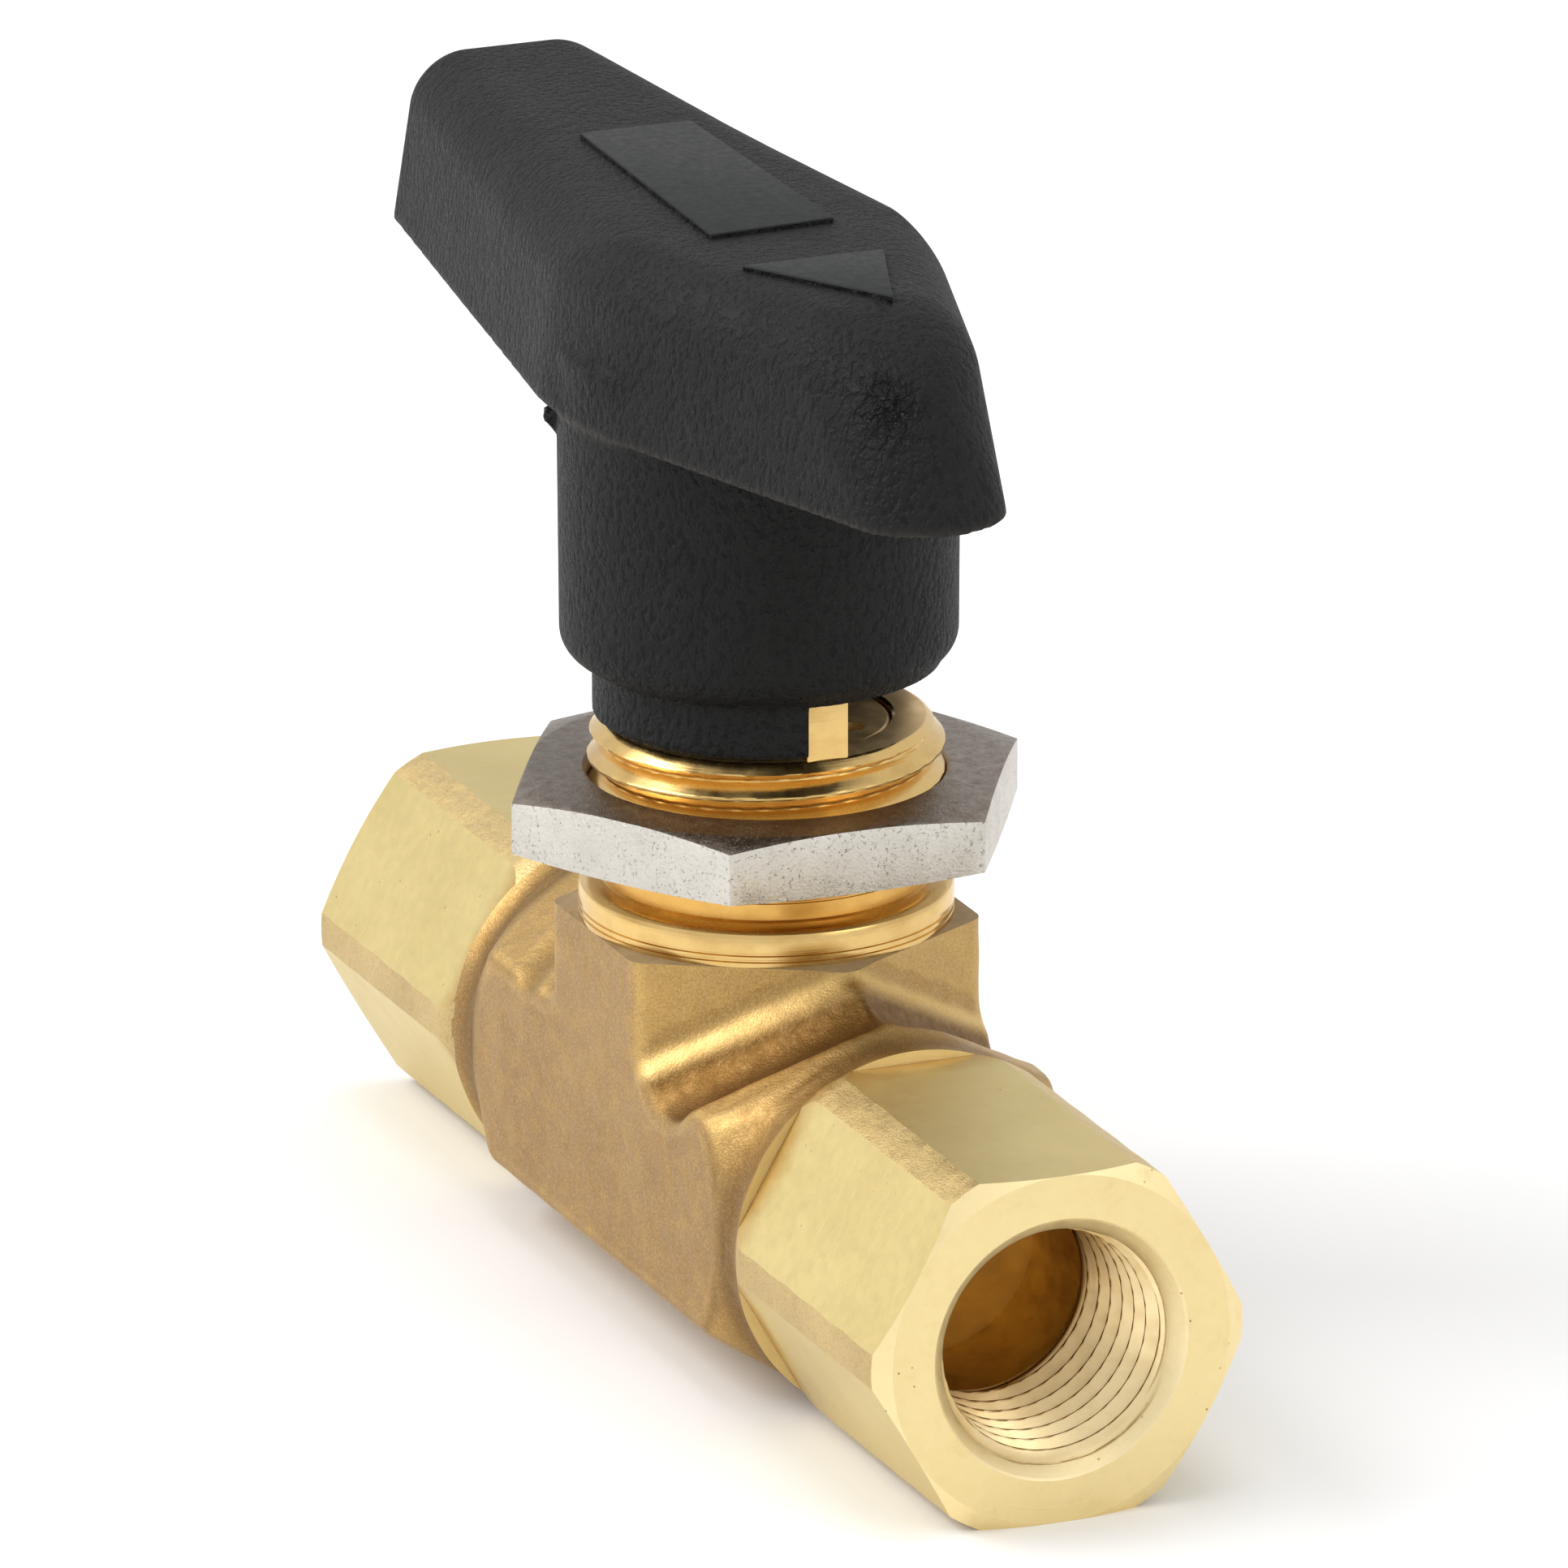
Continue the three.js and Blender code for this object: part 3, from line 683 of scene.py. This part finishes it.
def end_profile():
    """Radius of the forging about the flow axis against distance from the stem axis.

    The points give the shoulders and the waists, and are smoothed into one curve.
    """
    x = [0, 12.6, 14.0, 15.2, 16.2, 17.0, 17.7, 18.4, 19.2, 19.8, 20.3, 21.2, 45]
    r = [14, 12.9, 12.45, 11.85, 11.15, 10.6, 10.2, 9.95, 9.88, 9.95, 10.2, 10.5, 10.5]
    fine = np.arange(0, 45, 0.05)
    value = np.interp(fine, x, r)
    kernel = np.exp(-0.5 * (np.arange(-24, 25) / 8.0) ** 2)
    padded = np.concatenate([value[24:0:-1], value, np.full(24, value[-1])])
    return fine, np.convolve(padded, kernel / kernel.sum(), "valid")


PROFILE_X, PROFILE_R = end_profile()


# The channel between the foot of a column face and the end of the centre block: a point of
# the ridge beside it, and the directions along it, out of the block's slope and across.
RIDGE = np.array([8.8, -4.9, 9.0])
ALONG = np.array([0.438, 0.768, 0.471]) / np.linalg.norm([0.438, 0.768, 0.471])
SLOPE = np.array([0.0, -0.5, COS30])
ACROSS = np.cross(ALONG, SLOPE)
CHANNEL_RADIUS, CHANNEL_DEPTH, LEDGE_WIDTH = 3.4, 1.4, 1.0


def channel_field(x, y, z):
    """Round rod that cuts a channel of CHANNEL_DEPTH, LEDGE_WIDTH away from the ridge."""
    rise = CHANNEL_RADIUS - CHANNEL_DEPTH
    half = math.sqrt(CHANNEL_RADIUS ** 2 - rise ** 2)
    centre = RIDGE + ACROSS * (LEDGE_WIDTH + half) + SLOPE * rise
    dx, dy, dz = x - centre[0], y - centre[1], z - centre[2]
    t = dx * ALONG[0] + dy * ALONG[1] + dz * ALONG[2]
    square = dx * dx + dy * dy + dz * dz - t * t
    return np.sqrt(np.maximum(square, 0)) - CHANNEL_RADIUS


def forging_field(x, y, z):
    """The forging before machining: a centre block with its channels, a column and two ends."""
    ax, ay = np.abs(x), np.abs(y)
    ends = np.sqrt(y * y + z * z) - np.interp(ax, PROFILE_X, PROFILE_R)
    # Past the waists only the profile and the milling limit the forging.
    opening = 3 * np.clip((ax - 18.2) / 1.2, 0, 1)
    bar = slopes_field(y, z, BLOCK_APOTHEM + opening, 0.7)
    centre = both(bar, ends, 0.5)
    # The channels towards the inlet are much shallower.
    channel = channel_field(ax, -ay, z) + 1.12 * np.clip(-x / 4, 0, 1)
    centre = without(centre, channel, 0.4)
    whole = either(centre, column_field(x, y, z), 1.3)
    whole = both(whole, ay - BLOCK_APOTHEM - opening, 0.55)
    milled = 30 * np.clip((ax - MILLED_FROM - 0.35) / 0.5, 0, 1)
    whole = both(whole, BLOCK_BOTTOM - z - milled, 0.8)
    # Forged faces are never quite flat.
    dents = np.sin(0.9 * x + 1.3 * z) * np.sin(1.1 * y - 0.7 * x + 0.5) * np.sin(0.8 * z + 0.6 * y)
    return both(whole + 0.035 * dents, ax - HALF_LENGTH - 1.0, 0.2)


def column_field(x, y, z):
    """The hexagonal column under the neck."""
    return both(both(slopes_field(y, x, BLOCK_APOTHEM, 0.5), z - 13.0, 0.3), -4.0 - z, 0.3)


def hollow_shade_of(x, y, z):
    """Painted shade for the hollows of the forging, by their depth, from 0 to 1."""
    ends = np.hypot(y, z) - np.interp(np.abs(x), PROFILE_X, PROFILE_R)
    uncut = np.maximum(slopes_field(y, z, BLOCK_APOTHEM, 0.7), ends)
    uncut = np.maximum(uncut, np.maximum(np.abs(y) - BLOCK_APOTHEM, BLOCK_BOTTOM - z))
    valley = np.clip(-uncut / 0.45, 0, 1) * (np.abs(x) < 17)
    valley *= np.clip(column_field(x, y, z) / 0.8, 0, 1)
    waist = np.exp(-((np.abs(x) - 18.4) / 1.5) ** 2)
    return np.clip(valley + 0.75 * waist, 0, 1)


def ridge_highlight_of(x, y, z):
    """Painted highlight along the ridge between a column face and its channel, towards the outlet.
    """
    d = np.stack([np.abs(x), -np.abs(y), z], 1) - RIDGE
    band = np.exp(-((d @ ACROSS - 0.6) / 0.42) ** 2 - ((d @ SLOPE - 0.1) / 0.6) ** 2)
    return band * np.clip(x / 4, 0, 1)


def thread_wave(turns):
    """0 at the root and 1 at the crest of a V thread, with flats on both."""
    t = np.abs((turns % 1.0) * 2 - 1)
    return np.clip(1.22 * t - 0.1, 0, 1)


def port_radius(r, x, angle):
    """Taper pipe thread on the cutter of a port."""
    if not THREAD_FROM < x < HALF_LENGTH + 0.001:
        return r
    # The thread widens towards the mouth, and fades at both of its ends.
    share = (x - THREAD_FROM) / (39.2 - THREAD_FROM)
    pitch_radius = 5.98 + 0.38 * share
    fade = min(1.0, (x - THREAD_FROM) / 0.5) * min(1.0, max(0.0, (40.4 - x) / 2.4))
    wave = thread_wave(x / NPT_PITCH - angle / (2 * math.pi)) - 0.5
    return np.maximum(pitch_radius + THREAD_DEPTH * fade * wave, r)


def port_cutter(side):
    rows = [(RELIEF_RADIUS, x) for x in (PORT_FLOOR, THREAD_FROM - 0.1, THREAD_FROM)]
    rows += [(5.0, x) for x in np.arange(28.86, 38.9, 0.04)]
    for x in np.arange(MOUTH_FROM, HALF_LENGTH, 0.07):
        rows.append((6.30 + 0.85 * ((x - MOUTH_FROM) / 1.05) ** 1.2, x))
    rows += [(MOUTH_RADIUS, HALF_LENGTH), (7.3, 41.0)]
    cutter = lathe("port", rows, 144, True, port_radius)
    if side < 0:
        cutter.data.transform(Matrix.Rotation(math.pi, 4, "Z"))
    return cutter


def hex_end_cutter(side):
    """Everything outside the milled hexagon of one end."""
    # Swapped, so that two corners point along Y, and reversed, so that the faces point outwards.
    outer, inner = ([(b, a) for a, b in hexagon(size)][::-1] for size in (15.0, HEX_APOTHEM))
    low, high = (MILLED_FROM, 43.0) if side > 0 else (-43.0, -MILLED_FROM)
    ring = prism("ring", outer, low, high, 0)
    core = prism("core", inner, low - 1, high + 1, 0)
    return combine(ring, core, "DIFFERENCE")


def end_cutter(side):
    """The 30 degree chamfer round one end face."""
    start = 37.8
    outside = HEX_APOTHEM + (HALF_LENGTH - start) * math.tan(math.pi / 3)
    rows = [(HEX_APOTHEM, HALF_LENGTH), (outside, start), (16.0, start), (16.0, 43.0)]
    cutter = lathe("end", rows, 128, True)
    if side < 0:
        cutter.data.transform(Matrix.Rotation(math.pi, 4, "Z"))
    return cutter


def neck_radius(r, z, angle):
    """Thread of the neck, which fades in above the relief and runs out at the rim."""
    if not NECK_THREAD_FROM < z < 22.86:
        return r
    fade = min(1.0, (z - NECK_THREAD_FROM) / 0.5)
    wave = thread_wave(z / PANEL_PITCH - angle / (2 * math.pi) - 0.36)
    return np.minimum(r, THREAD_RADIUS - THREAD_DEPTH * (1 - wave) * fade)


def tool_mark(radius, floor, z, width):
    """Rows of a groove in a turned surface."""
    return [(radius, z), (floor, z + 0.05), (floor, z + 0.05 + width), (radius, z + 0.1 + width)]


def neck_solid():
    """Collar with two tool marks, relief with one, thread and chamfered rim."""
    rows = [(COLLAR_RADIUS, 4.0), (COLLAR_RADIUS, COLUMN_TOP)]
    for z in (12.15, 12.5):
        rows += tool_mark(COLLAR_RADIUS, 10.0, z, 0.08)
    rows += [(COLLAR_RADIUS, 13.5), (10.02, 13.7), (9.8, 13.88), (9.4, 13.98), (8.9, 14.02),
             (NECK_RELIEF_RADIUS, 14.12)]
    rows += tool_mark(NECK_RELIEF_RADIUS, 8.7, 15.0, 0.07)
    rows += [(NECK_RELIEF_RADIUS, 16.85)]
    rows += [(THREAD_RADIUS, z) for z in np.arange(16.95, 22.08, 0.045)]
    rows += [(9.5 - 1.1 * (z - 22.1), z) for z in np.arange(22.12, 22.84, 0.045)]
    rows += [(8.6, 22.87), (8.5, NECK_TOP)]
    return lathe("neck", rows, 144, False, neck_radius)


def chamber_cutter():
    """The ball's chamber and the packing nut's seat above it, open at the neck's top."""
    rows = [(CHAMBER_RADIUS, -6.2), (CHAMBER_RADIUS, 17.0), (6.75, 17.2), (6.75, 22.75),
            (6.9, NECK_TOP), (7.0, 24.0)]
    return lathe("chamber", rows, 96)


def stop_post():
    """The post on the neck's rim that the handle's notch runs against."""
    post = block("post", (7.0, -1.2, 22.3), (8.6, 1.2, 26.6))
    return bevelled(post, 0.12)


BODY_FINISHES = [SKIN, FLAT, FACE, NECK, PORT, DEEP, RIM, STRIP, FLOOR, RELIEF, LEDGE, MOUTH,
                 BEVEL]


def body_classes(mesh):
    """Finish of every face, as its place in BODY_FINISHES; later rules win."""
    c, n = face_data(mesh)
    ax, z = np.abs(c[:, 0]), c[:, 2]
    r_flow = np.hypot(c[:, 1], z)
    r_stem = np.hypot(c[:, 0], c[:, 1])
    level, across = n[:, 2] > 0.9, np.abs(n[:, 0]) > 0.9
    kind = np.zeros(len(c), int)

    def mark(faces, finish):
        kind[faces] = BODY_FINISHES.index(finish)

    on_flat = np.zeros(len(c), bool)
    for turn in (30, 90, 150):
        d = np.array([0, math.cos(math.radians(turn)), math.sin(math.radians(turn))])
        on_flat |= (np.abs(np.abs(c @ d) - HEX_APOTHEM) < 0.01) & (np.abs(n @ d) > 0.995)
    chamfer = (ax > 37.7) & (r_flow > HEX_APOTHEM - 0.01)
    chamfer &= np.abs(np.abs(n[:, 0]) - COS30) < 0.01
    in_port = (r_flow < MOUTH_RADIUS + 0.01) & (ax < HALF_LENGTH - 0.005)
    in_relief = r_flow < RELIEF_RADIUS + 0.05
    central = ax < 14

    mark(on_flat & (ax > MILLED_FROM), FLAT)
    mark((np.abs(ax - MILLED_FROM) < 0.01) & across, FACE)
    mark(ax > HALF_LENGTH - 0.01, FACE)
    mark(in_port & (ax > THREAD_FROM - 0.01), PORT)
    mark(in_port & (ax > MOUTH_FROM - 0.01), MOUTH)
    mark(chamfer, BEVEL)
    mark(in_relief & (ax <= THREAD_FROM) & (ax > PORT_FLOOR - 0.1), DEEP)
    mark(in_relief & (np.abs(ax - PORT_FLOOR) < 0.01), FLOOR)
    mark((r_flow < BORE_RADIUS + 0.05) & (ax > 6) & (ax <= PORT_FLOOR), DEEP)
    mark((kind == 0) & (ax > MILLED_FROM + 0.01), STRIP)
    mark((z > COLUMN_TOP + 0.01) & central, NECK)
    # The relief groove and the thread's roots take the painted reflection of RELIEF.
    mark((z > 13.9) & (z < 21.9) & (r_stem < 9.02) & central, RELIEF)
    mark((np.abs(z - NECK_TOP) < 0.1) & (r_stem > 6.7) & (n[:, 2] > 0.95), RIM)
    mark((r_stem < 6.8) & (z > -6.3) & (z < NECK_TOP - 0.1) & (ax < 6.9), DEEP)
    # The ledge round the neck is one ring-shaped face, so its centre lies on the stem's axis.
    mark((np.abs(z - COLUMN_TOP) < 0.01) & level & central, LEDGE)
    return kind


def bend_of(field_of, v, h=0.45):
    """Bend of a surface at some points, from -1 in a groove to 1 on a ridge."""
    total = -6 * field_of(*v.T)
    for axis in range(3):
        for step in (-h, h):
            d = np.zeros(3)
            d[axis] = step
            total += field_of(*(v + d).T)
    return np.clip(total / h ** 2, -1, 1)


def make_body():
    body = field_mesh("valve_body_detail", forging_field, (-41.4, -11.4, -11.4),
                      (41.4, 11.4, 13.6))
    combine(body, block("top", (-14, -14, COLUMN_TOP), (14, 14, 15)), "DIFFERENCE")
    for side in (-1, 1):
        combine(body, hex_end_cutter(side), "DIFFERENCE")
        combine(body, end_cutter(side), "DIFFERENCE")
    combine(body, neck_solid(), "UNION")
    combine(body, stop_post(), "UNION")
    for side in (-1, 1):
        combine(body, port_cutter(side), "DIFFERENCE")
    bore = lathe("flow", [(BORE_RADIUS, -24.0), (BORE_RADIUS, 24.0)], 64, True)
    combine(body, bore, "DIFFERENCE")
    combine(body, chamber_cutter(), "DIFFERENCE")
    v = vertices_of(body)
    # Bend of the forging, for worn gold on its ridges and painted shade in its grooves; painted
    # shade in its hollows; a painted highlight along the channels' ridges.
    store(body, "wear_and_groove_shade", bend_of(forging_field, v))
    store(body, "hollow", hollow_shade_of(*v.T))
    store(body, "ridge", ridge_highlight_of(*v.T))
    forged = [BODY_FINISHES.index(SKIN), BODY_FINISHES.index(STRIP)]
    finish_mesh(body, body_classes(body.data), forged, BODY_FINISHES, 28)
    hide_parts("valve_body")
    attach(body, "body")


# ---- panel nut ---------------------------------------------------------------------------------
def make_panel_nut():
    low, high, inner = NUT_LOW, NUT_HIGH, NUT_APOTHEM + 0.05
    nut = prism("panel_nut_detail", hexagon(NUT_APOTHEM), low, high)
    # The corners are turned down at 13 degrees above and slightly below.
    outer = NUT_APOTHEM / COS30 + 0.5
    drop = (outer - inner) * math.tan(math.radians(13))
    above = [(inner, high), (outer, high - drop), (outer + 1.5, high - drop),
             (outer + 1.5, high + 1), (inner, high + 1)]
    below = [(inner, low), (inner, low - 1), (outer + 1.5, low - 1), (outer + 1.5, low + 0.3),
             (outer, low + 0.3)]
    for rows in (above, below):
        combine(nut, tube("corner_tool", rows, 96), "DIFFERENCE")
    bevelled(nut, 0.1, 12)
    rows = [(10.0, low - 0.5), (9.95, low), (9.68, low + 0.27), (9.68, high - 0.2), (9.85, high),
            (9.9, high + 0.5)]
    combine(nut, lathe("bore", rows, 144), "DIFFERENCE")
    finish_mesh(nut, np.zeros(len(nut.data.polygons), int), [], [PLATING], 24)
    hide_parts("panel_nut")
    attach(nut, "nut")


# ---- packing nut -------------------------------------------------------------------------------
def make_packing_nut():
    rows = [(5.0, 15.2), (5.1, 15.3), (5.1, 17.1), (6.5, 17.25), (6.65, 17.35), (6.65, 22.55),
            (6.5, 22.7), (6.3, 22.74)]
    nut = lathe("packing_nut_detail", rows, 96)
    hole = lathe("hole", [(3.35, 14.0), (3.35, 22.3), (3.9, 22.74), (4.0, 23.5)], 64)
    combine(nut, hole, "DIFFERENCE")
    for angle in (45, 225):
        t = math.radians(angle)
        spot = lathe("spanner_hole", [(0.75, 21.2), (0.75, 23.5)], 32)
        centre = (4.9 * MM * math.cos(t), 4.9 * MM * math.sin(t), 0)
        spot.data.transform(Matrix.Translation(centre))
        combine(nut, spot, "DIFFERENCE")
    finish_mesh(nut, np.zeros(len(nut.data.polygons), int), [], [RIM], 26)
    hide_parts("packing_nut")
    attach(nut, "body")


# ---- handle ------------------------------------------------------------------------------------
def wing_bottom(x):
    """Height of the lever's lower edge, which is also its parting line."""
    return WING_BOTTOM + TAIL_RISE * np.clip(-x / HALF_LENGTH, 0, 1)


def wing_field(x, y, z):
    """The lever, whose sides and nose lean inwards."""
    lift = z - WING_BOTTOM
    lean = 0.13
    size = math.sqrt(1 + lean ** 2)

    def wall(x0, y0, x1, y1, side):
        nx, ny = y0 - y1, x1 - x0
        scale = math.copysign(math.hypot(nx, ny), ny)
        return ((x - x0) * nx / scale + (side * y - y0) * ny / scale + lean * lift) / size

    # Each side has two walls, from its widest point to the nose and to the tail.
    near = both(wall(0, 11.5, 26.2, 3.6, -1), wall(0, 11.5, -40.0, 5.8, -1), 2.2)
    far = both(wall(0, 11.3, 26.2, 3.4, 1), wall(0, 11.3, -40.0, 7.1, 1), 2.2)
    plan = both(np.maximum(near, far), (x - WING_NOSE + lean * lift) / size, 3.2)
    # The top rises slightly towards the tail, and falls steeply at the nose.
    crown = WING_TOP + 0.28 * np.clip((-20 - x) / 18, 0, 1)
    slope = (x - 19.6) * 0.73 + (z - WING_TOP) * 0.683
    shell = both(plan, both(z - crown, slope, 3.4), 3.4 - 0.5 * np.clip((-15 - x) / 20, 0, 1))
    tail = (LEVER_SHIFT[0] - HALF_LENGTH + 0.17 - x + 0.10 * lift) / math.sqrt(1 + 0.10 ** 2)
    shell = both(shell, tail, 1.9)
    return both(shell, wing_bottom(x) - z, 0.3)


def handle_field(x, y, z):
    """Skirt, hub and lever, with flash at the parting line and an uneven gate mark."""
    r = np.sqrt(x * x + y * y)
    skirt = both(r - SKIRT_RADIUS, SKIRT_BOTTOM - z, 0.25)
    skirt = both(skirt, z - 30.0, 0.2)
    # The hub and the lever sit slightly off the stem's axis.
    x, y = x + LEVER_SHIFT[0], y + LEVER_SHIFT[1]
    r = np.sqrt(x * x + y * y)
    hub = both(r - HUB_RADIUS - 0.006 * (z - NOTCH_TOP), z - 44.0, 0.5)
    hub = both(hub, HUB_BOTTOM - z, 1.7)
    whole = either(wing_field(x, y, z), either(hub, skirt, 0.6), 0.15)
    # Flash at the parting line, where the underside of the lever meets the hub.
    fx, fy = x + 4.35, y + 9.55
    out = fx * -0.41 + fy * -0.91
    along = fx * -0.91 + fy * 0.41
    flash = both(both(np.abs(out) - 0.95, np.abs(along) - 0.9, 0.1),
                 np.abs(z - 39.1 - 0.5 * out) - 0.6 + 0.4 * out, 0.1)
    whole = either(whole, flash, 0.1)
    dimples = np.sin(4.6 * x + 2.1 * z) * np.sin(5.2 * z - 2 * y)
    return whole + gate_of(x, y, z) * (0.10 + 0.10 * dimples)


def gate_of(x, y, z):
    """The trimmed moulding gate on the near side of the nose, from 0 to 1."""
    square = (x - GATE[0]) ** 2 + (y - GATE[1]) ** 2 + ((z - GATE[2]) * 0.6) ** 2
    return np.exp(-square / 1.3 ** 2)


def raised_marks():
    """The plain plate and the arrow on the lever's top."""
    low, high = WING_TOP - 0.8, WING_TOP + 0.3
    plate = prism("plate", [(-19.1, -2.9), (1.9, -3.9), (1.4, 3.4), (-19.1, 3.6)], low, high)
    arrow = prism("arrow", [(7.9, -4.6), (16.3, 0.5), (7.9, 3.5)], low, high)
    return bevelled(plate, 0.1), bevelled(arrow, 0.1)


def make_handle():
    handle = field_mesh("handle_detail", handle_field, (-41.4, -12.0, 22.6), (28.4, 12.0, 51.2))
    for mark in raised_marks():
        combine(handle, mark, "UNION")
    hollow = lathe("hollow", [(7.2, 22.0), (7.2, NOTCH_TOP - 0.3), (6.9, NOTCH_TOP)], 96)
    combine(handle, hollow, "DIFFERENCE")
    notch = block("notch", (NOTCH_EDGE, NOTCH_EDGE, 21.0), (20, 20, NOTCH_TOP))
    reach = SKIRT_RADIUS + 0.1
    combine(notch, lathe("reach", [(reach, 20.0), (reach, 28.0)], 96), "INTERSECT")
    combine(handle, notch, "DIFFERENCE")
    combine(handle, lathe("socket", [(3.15, 25.5), (3.15, 38.1)], 48), "DIFFERENCE")
    hole = lathe("screw_hole", [(2.1, -20.0), (2.1, 0.0)], 48, True)
    hole.data.transform(Matrix.Translation((0, 0, 33.5 * MM)))
    combine(handle, hole, "DIFFERENCE")
    v = vertices_of(handle)
    store(handle, "gate", gate_of(v[:, 0] + LEVER_SHIFT[0], v[:, 1] + LEVER_SHIFT[1], v[:, 2]))
    height = v[:, 2] - wing_bottom(v[:, 0])
    store(handle, "lip", np.exp(-((height - 0.1) / 0.25) ** 2))
    # The raised marks, the notch's sides and the skirt's inside are smooth.
    c, _ = face_data(handle.data)
    on_mark = (c[:, 2] > WING_TOP + 0.02) & (c[:, 0] > -19.3)
    in_notch = (np.abs(c[:, :2] - NOTCH_EDGE) < 0.01).any(1)
    in_hollow = np.hypot(c[:, 0], c[:, 1]) < 7.25
    smooth = on_mark | ((c[:, 2] < NOTCH_TOP + 0.01) & (in_notch | in_hollow))
    finish_mesh(handle, smooth.astype(int), [0], [NYLON, MARK], 30)
    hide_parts("handle")
    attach(handle, "rotor")


make_body()
make_panel_nut()
make_packing_nut()
make_handle()

BY_SLOT = {"inner_brass": INNER, "steel": STEEL, "ptfe": PTFE, "o_ring": RUBBER,
           "body_brass": NECK, "plated_nut": PLATING, "black_nylon": NYLON}
for row in frame["record"]["subparts"]:
    node = frame["nodes"][row["node"]]
    node.data.materials.clear()
    node.data.materials.append(BY_SLOT[row["material_slot"]])


# ---- floor, light and camera -------------------------------------------------------------------
def make_floor():
    s = Shader("floor_pale", 0.0, 0.6)
    s.color(s.mix(s.span(s.noise(40, 3), 0.3, 0.7), (0.86, 0.86, 0.86), (0.885, 0.885, 0.885)))
    s.rough(s.span(s.noise(10, 3), 0.3, 0.7, 0.7, 0.8))
    s.bsdf.inputs["Specular IOR Level"].default_value = 0.15
    size = 4.0
    mesh = bpy.data.meshes.new("floor")
    mesh.from_pydata([(-size, -size, 0), (size, -size, 0), (size, size, 0), (-size, size, 0)], [],
                     [(0, 1, 2, 3)])
    mesh.materials.append(s.material)
    floor = bpy.data.objects.new("floor", mesh)
    bpy.context.scene.collection.objects.link(floor)


def area_light(name, place, size, power):
    """Square lamp aimed at the middle of the valve."""
    lamp = bpy.data.lights.new(name, "AREA")
    lamp.shape = "RECTANGLE"
    lamp.size = lamp.size_y = size
    lamp.energy = power
    obj = bpy.data.objects.new(name, lamp)
    obj.location = place
    aim = Vector((0, 0, 0.03)) - Vector(place)
    obj.rotation_euler = aim.to_track_quat("-Z", "Y").to_euler()
    bpy.context.scene.collection.objects.link(obj)


def make_world():
    world = bpy.data.worlds.new("studio")
    bpy.context.scene.world = world
    world.use_nodes = True
    back = world.node_tree.nodes["Background"]
    back.inputs["Color"].default_value = (1, 1, 1, 1)
    back.inputs["Strength"].default_value = 0.86


def make_camera():
    """Long-lens camera that looks down on the outlet end; distances are in metres."""
    azimuth, elevation, roll = (math.radians(a) for a in (67.47, 17.94, -0.10))
    distance, right_shift, up_shift = 0.9407, 0.00093, 0.0180
    flat = math.cos(elevation)
    back = Vector((math.sin(azimuth) * flat, -math.cos(azimuth) * flat, math.sin(elevation)))
    right = Vector((math.cos(azimuth), math.sin(azimuth), 0))
    up = back.cross(right)
    r = math.cos(roll) * right + math.sin(roll) * up
    u = -math.sin(roll) * right + math.cos(roll) * up
    data = bpy.data.cameras.new("camera")
    data.sensor_width = 36
    data.lens = 400.83
    data.clip_start, data.clip_end = 0.01, 50
    camera = bpy.data.objects.new("camera", data)
    turn = Matrix((r, u, back)).transposed().to_4x4()
    place = Vector((0, 0, FLOW_Z * MM)) + back * distance + r * right_shift + u * up_shift
    camera.matrix_world = Matrix.Translation(place) @ turn
    bpy.context.scene.collection.objects.link(camera)
    bpy.context.scene.camera = camera


make_floor()
make_world()
make_camera()
area_light("key", (-0.25, -0.55, 0.55), 0.5, 4.0)
area_light("side", (0.6, 0.35, 0.35), 0.4, 0.8)
area_light("top", (0.0, 0.0, 0.8), 0.4, 1.2)
bpy.context.scene.view_settings.view_transform = "Standard"
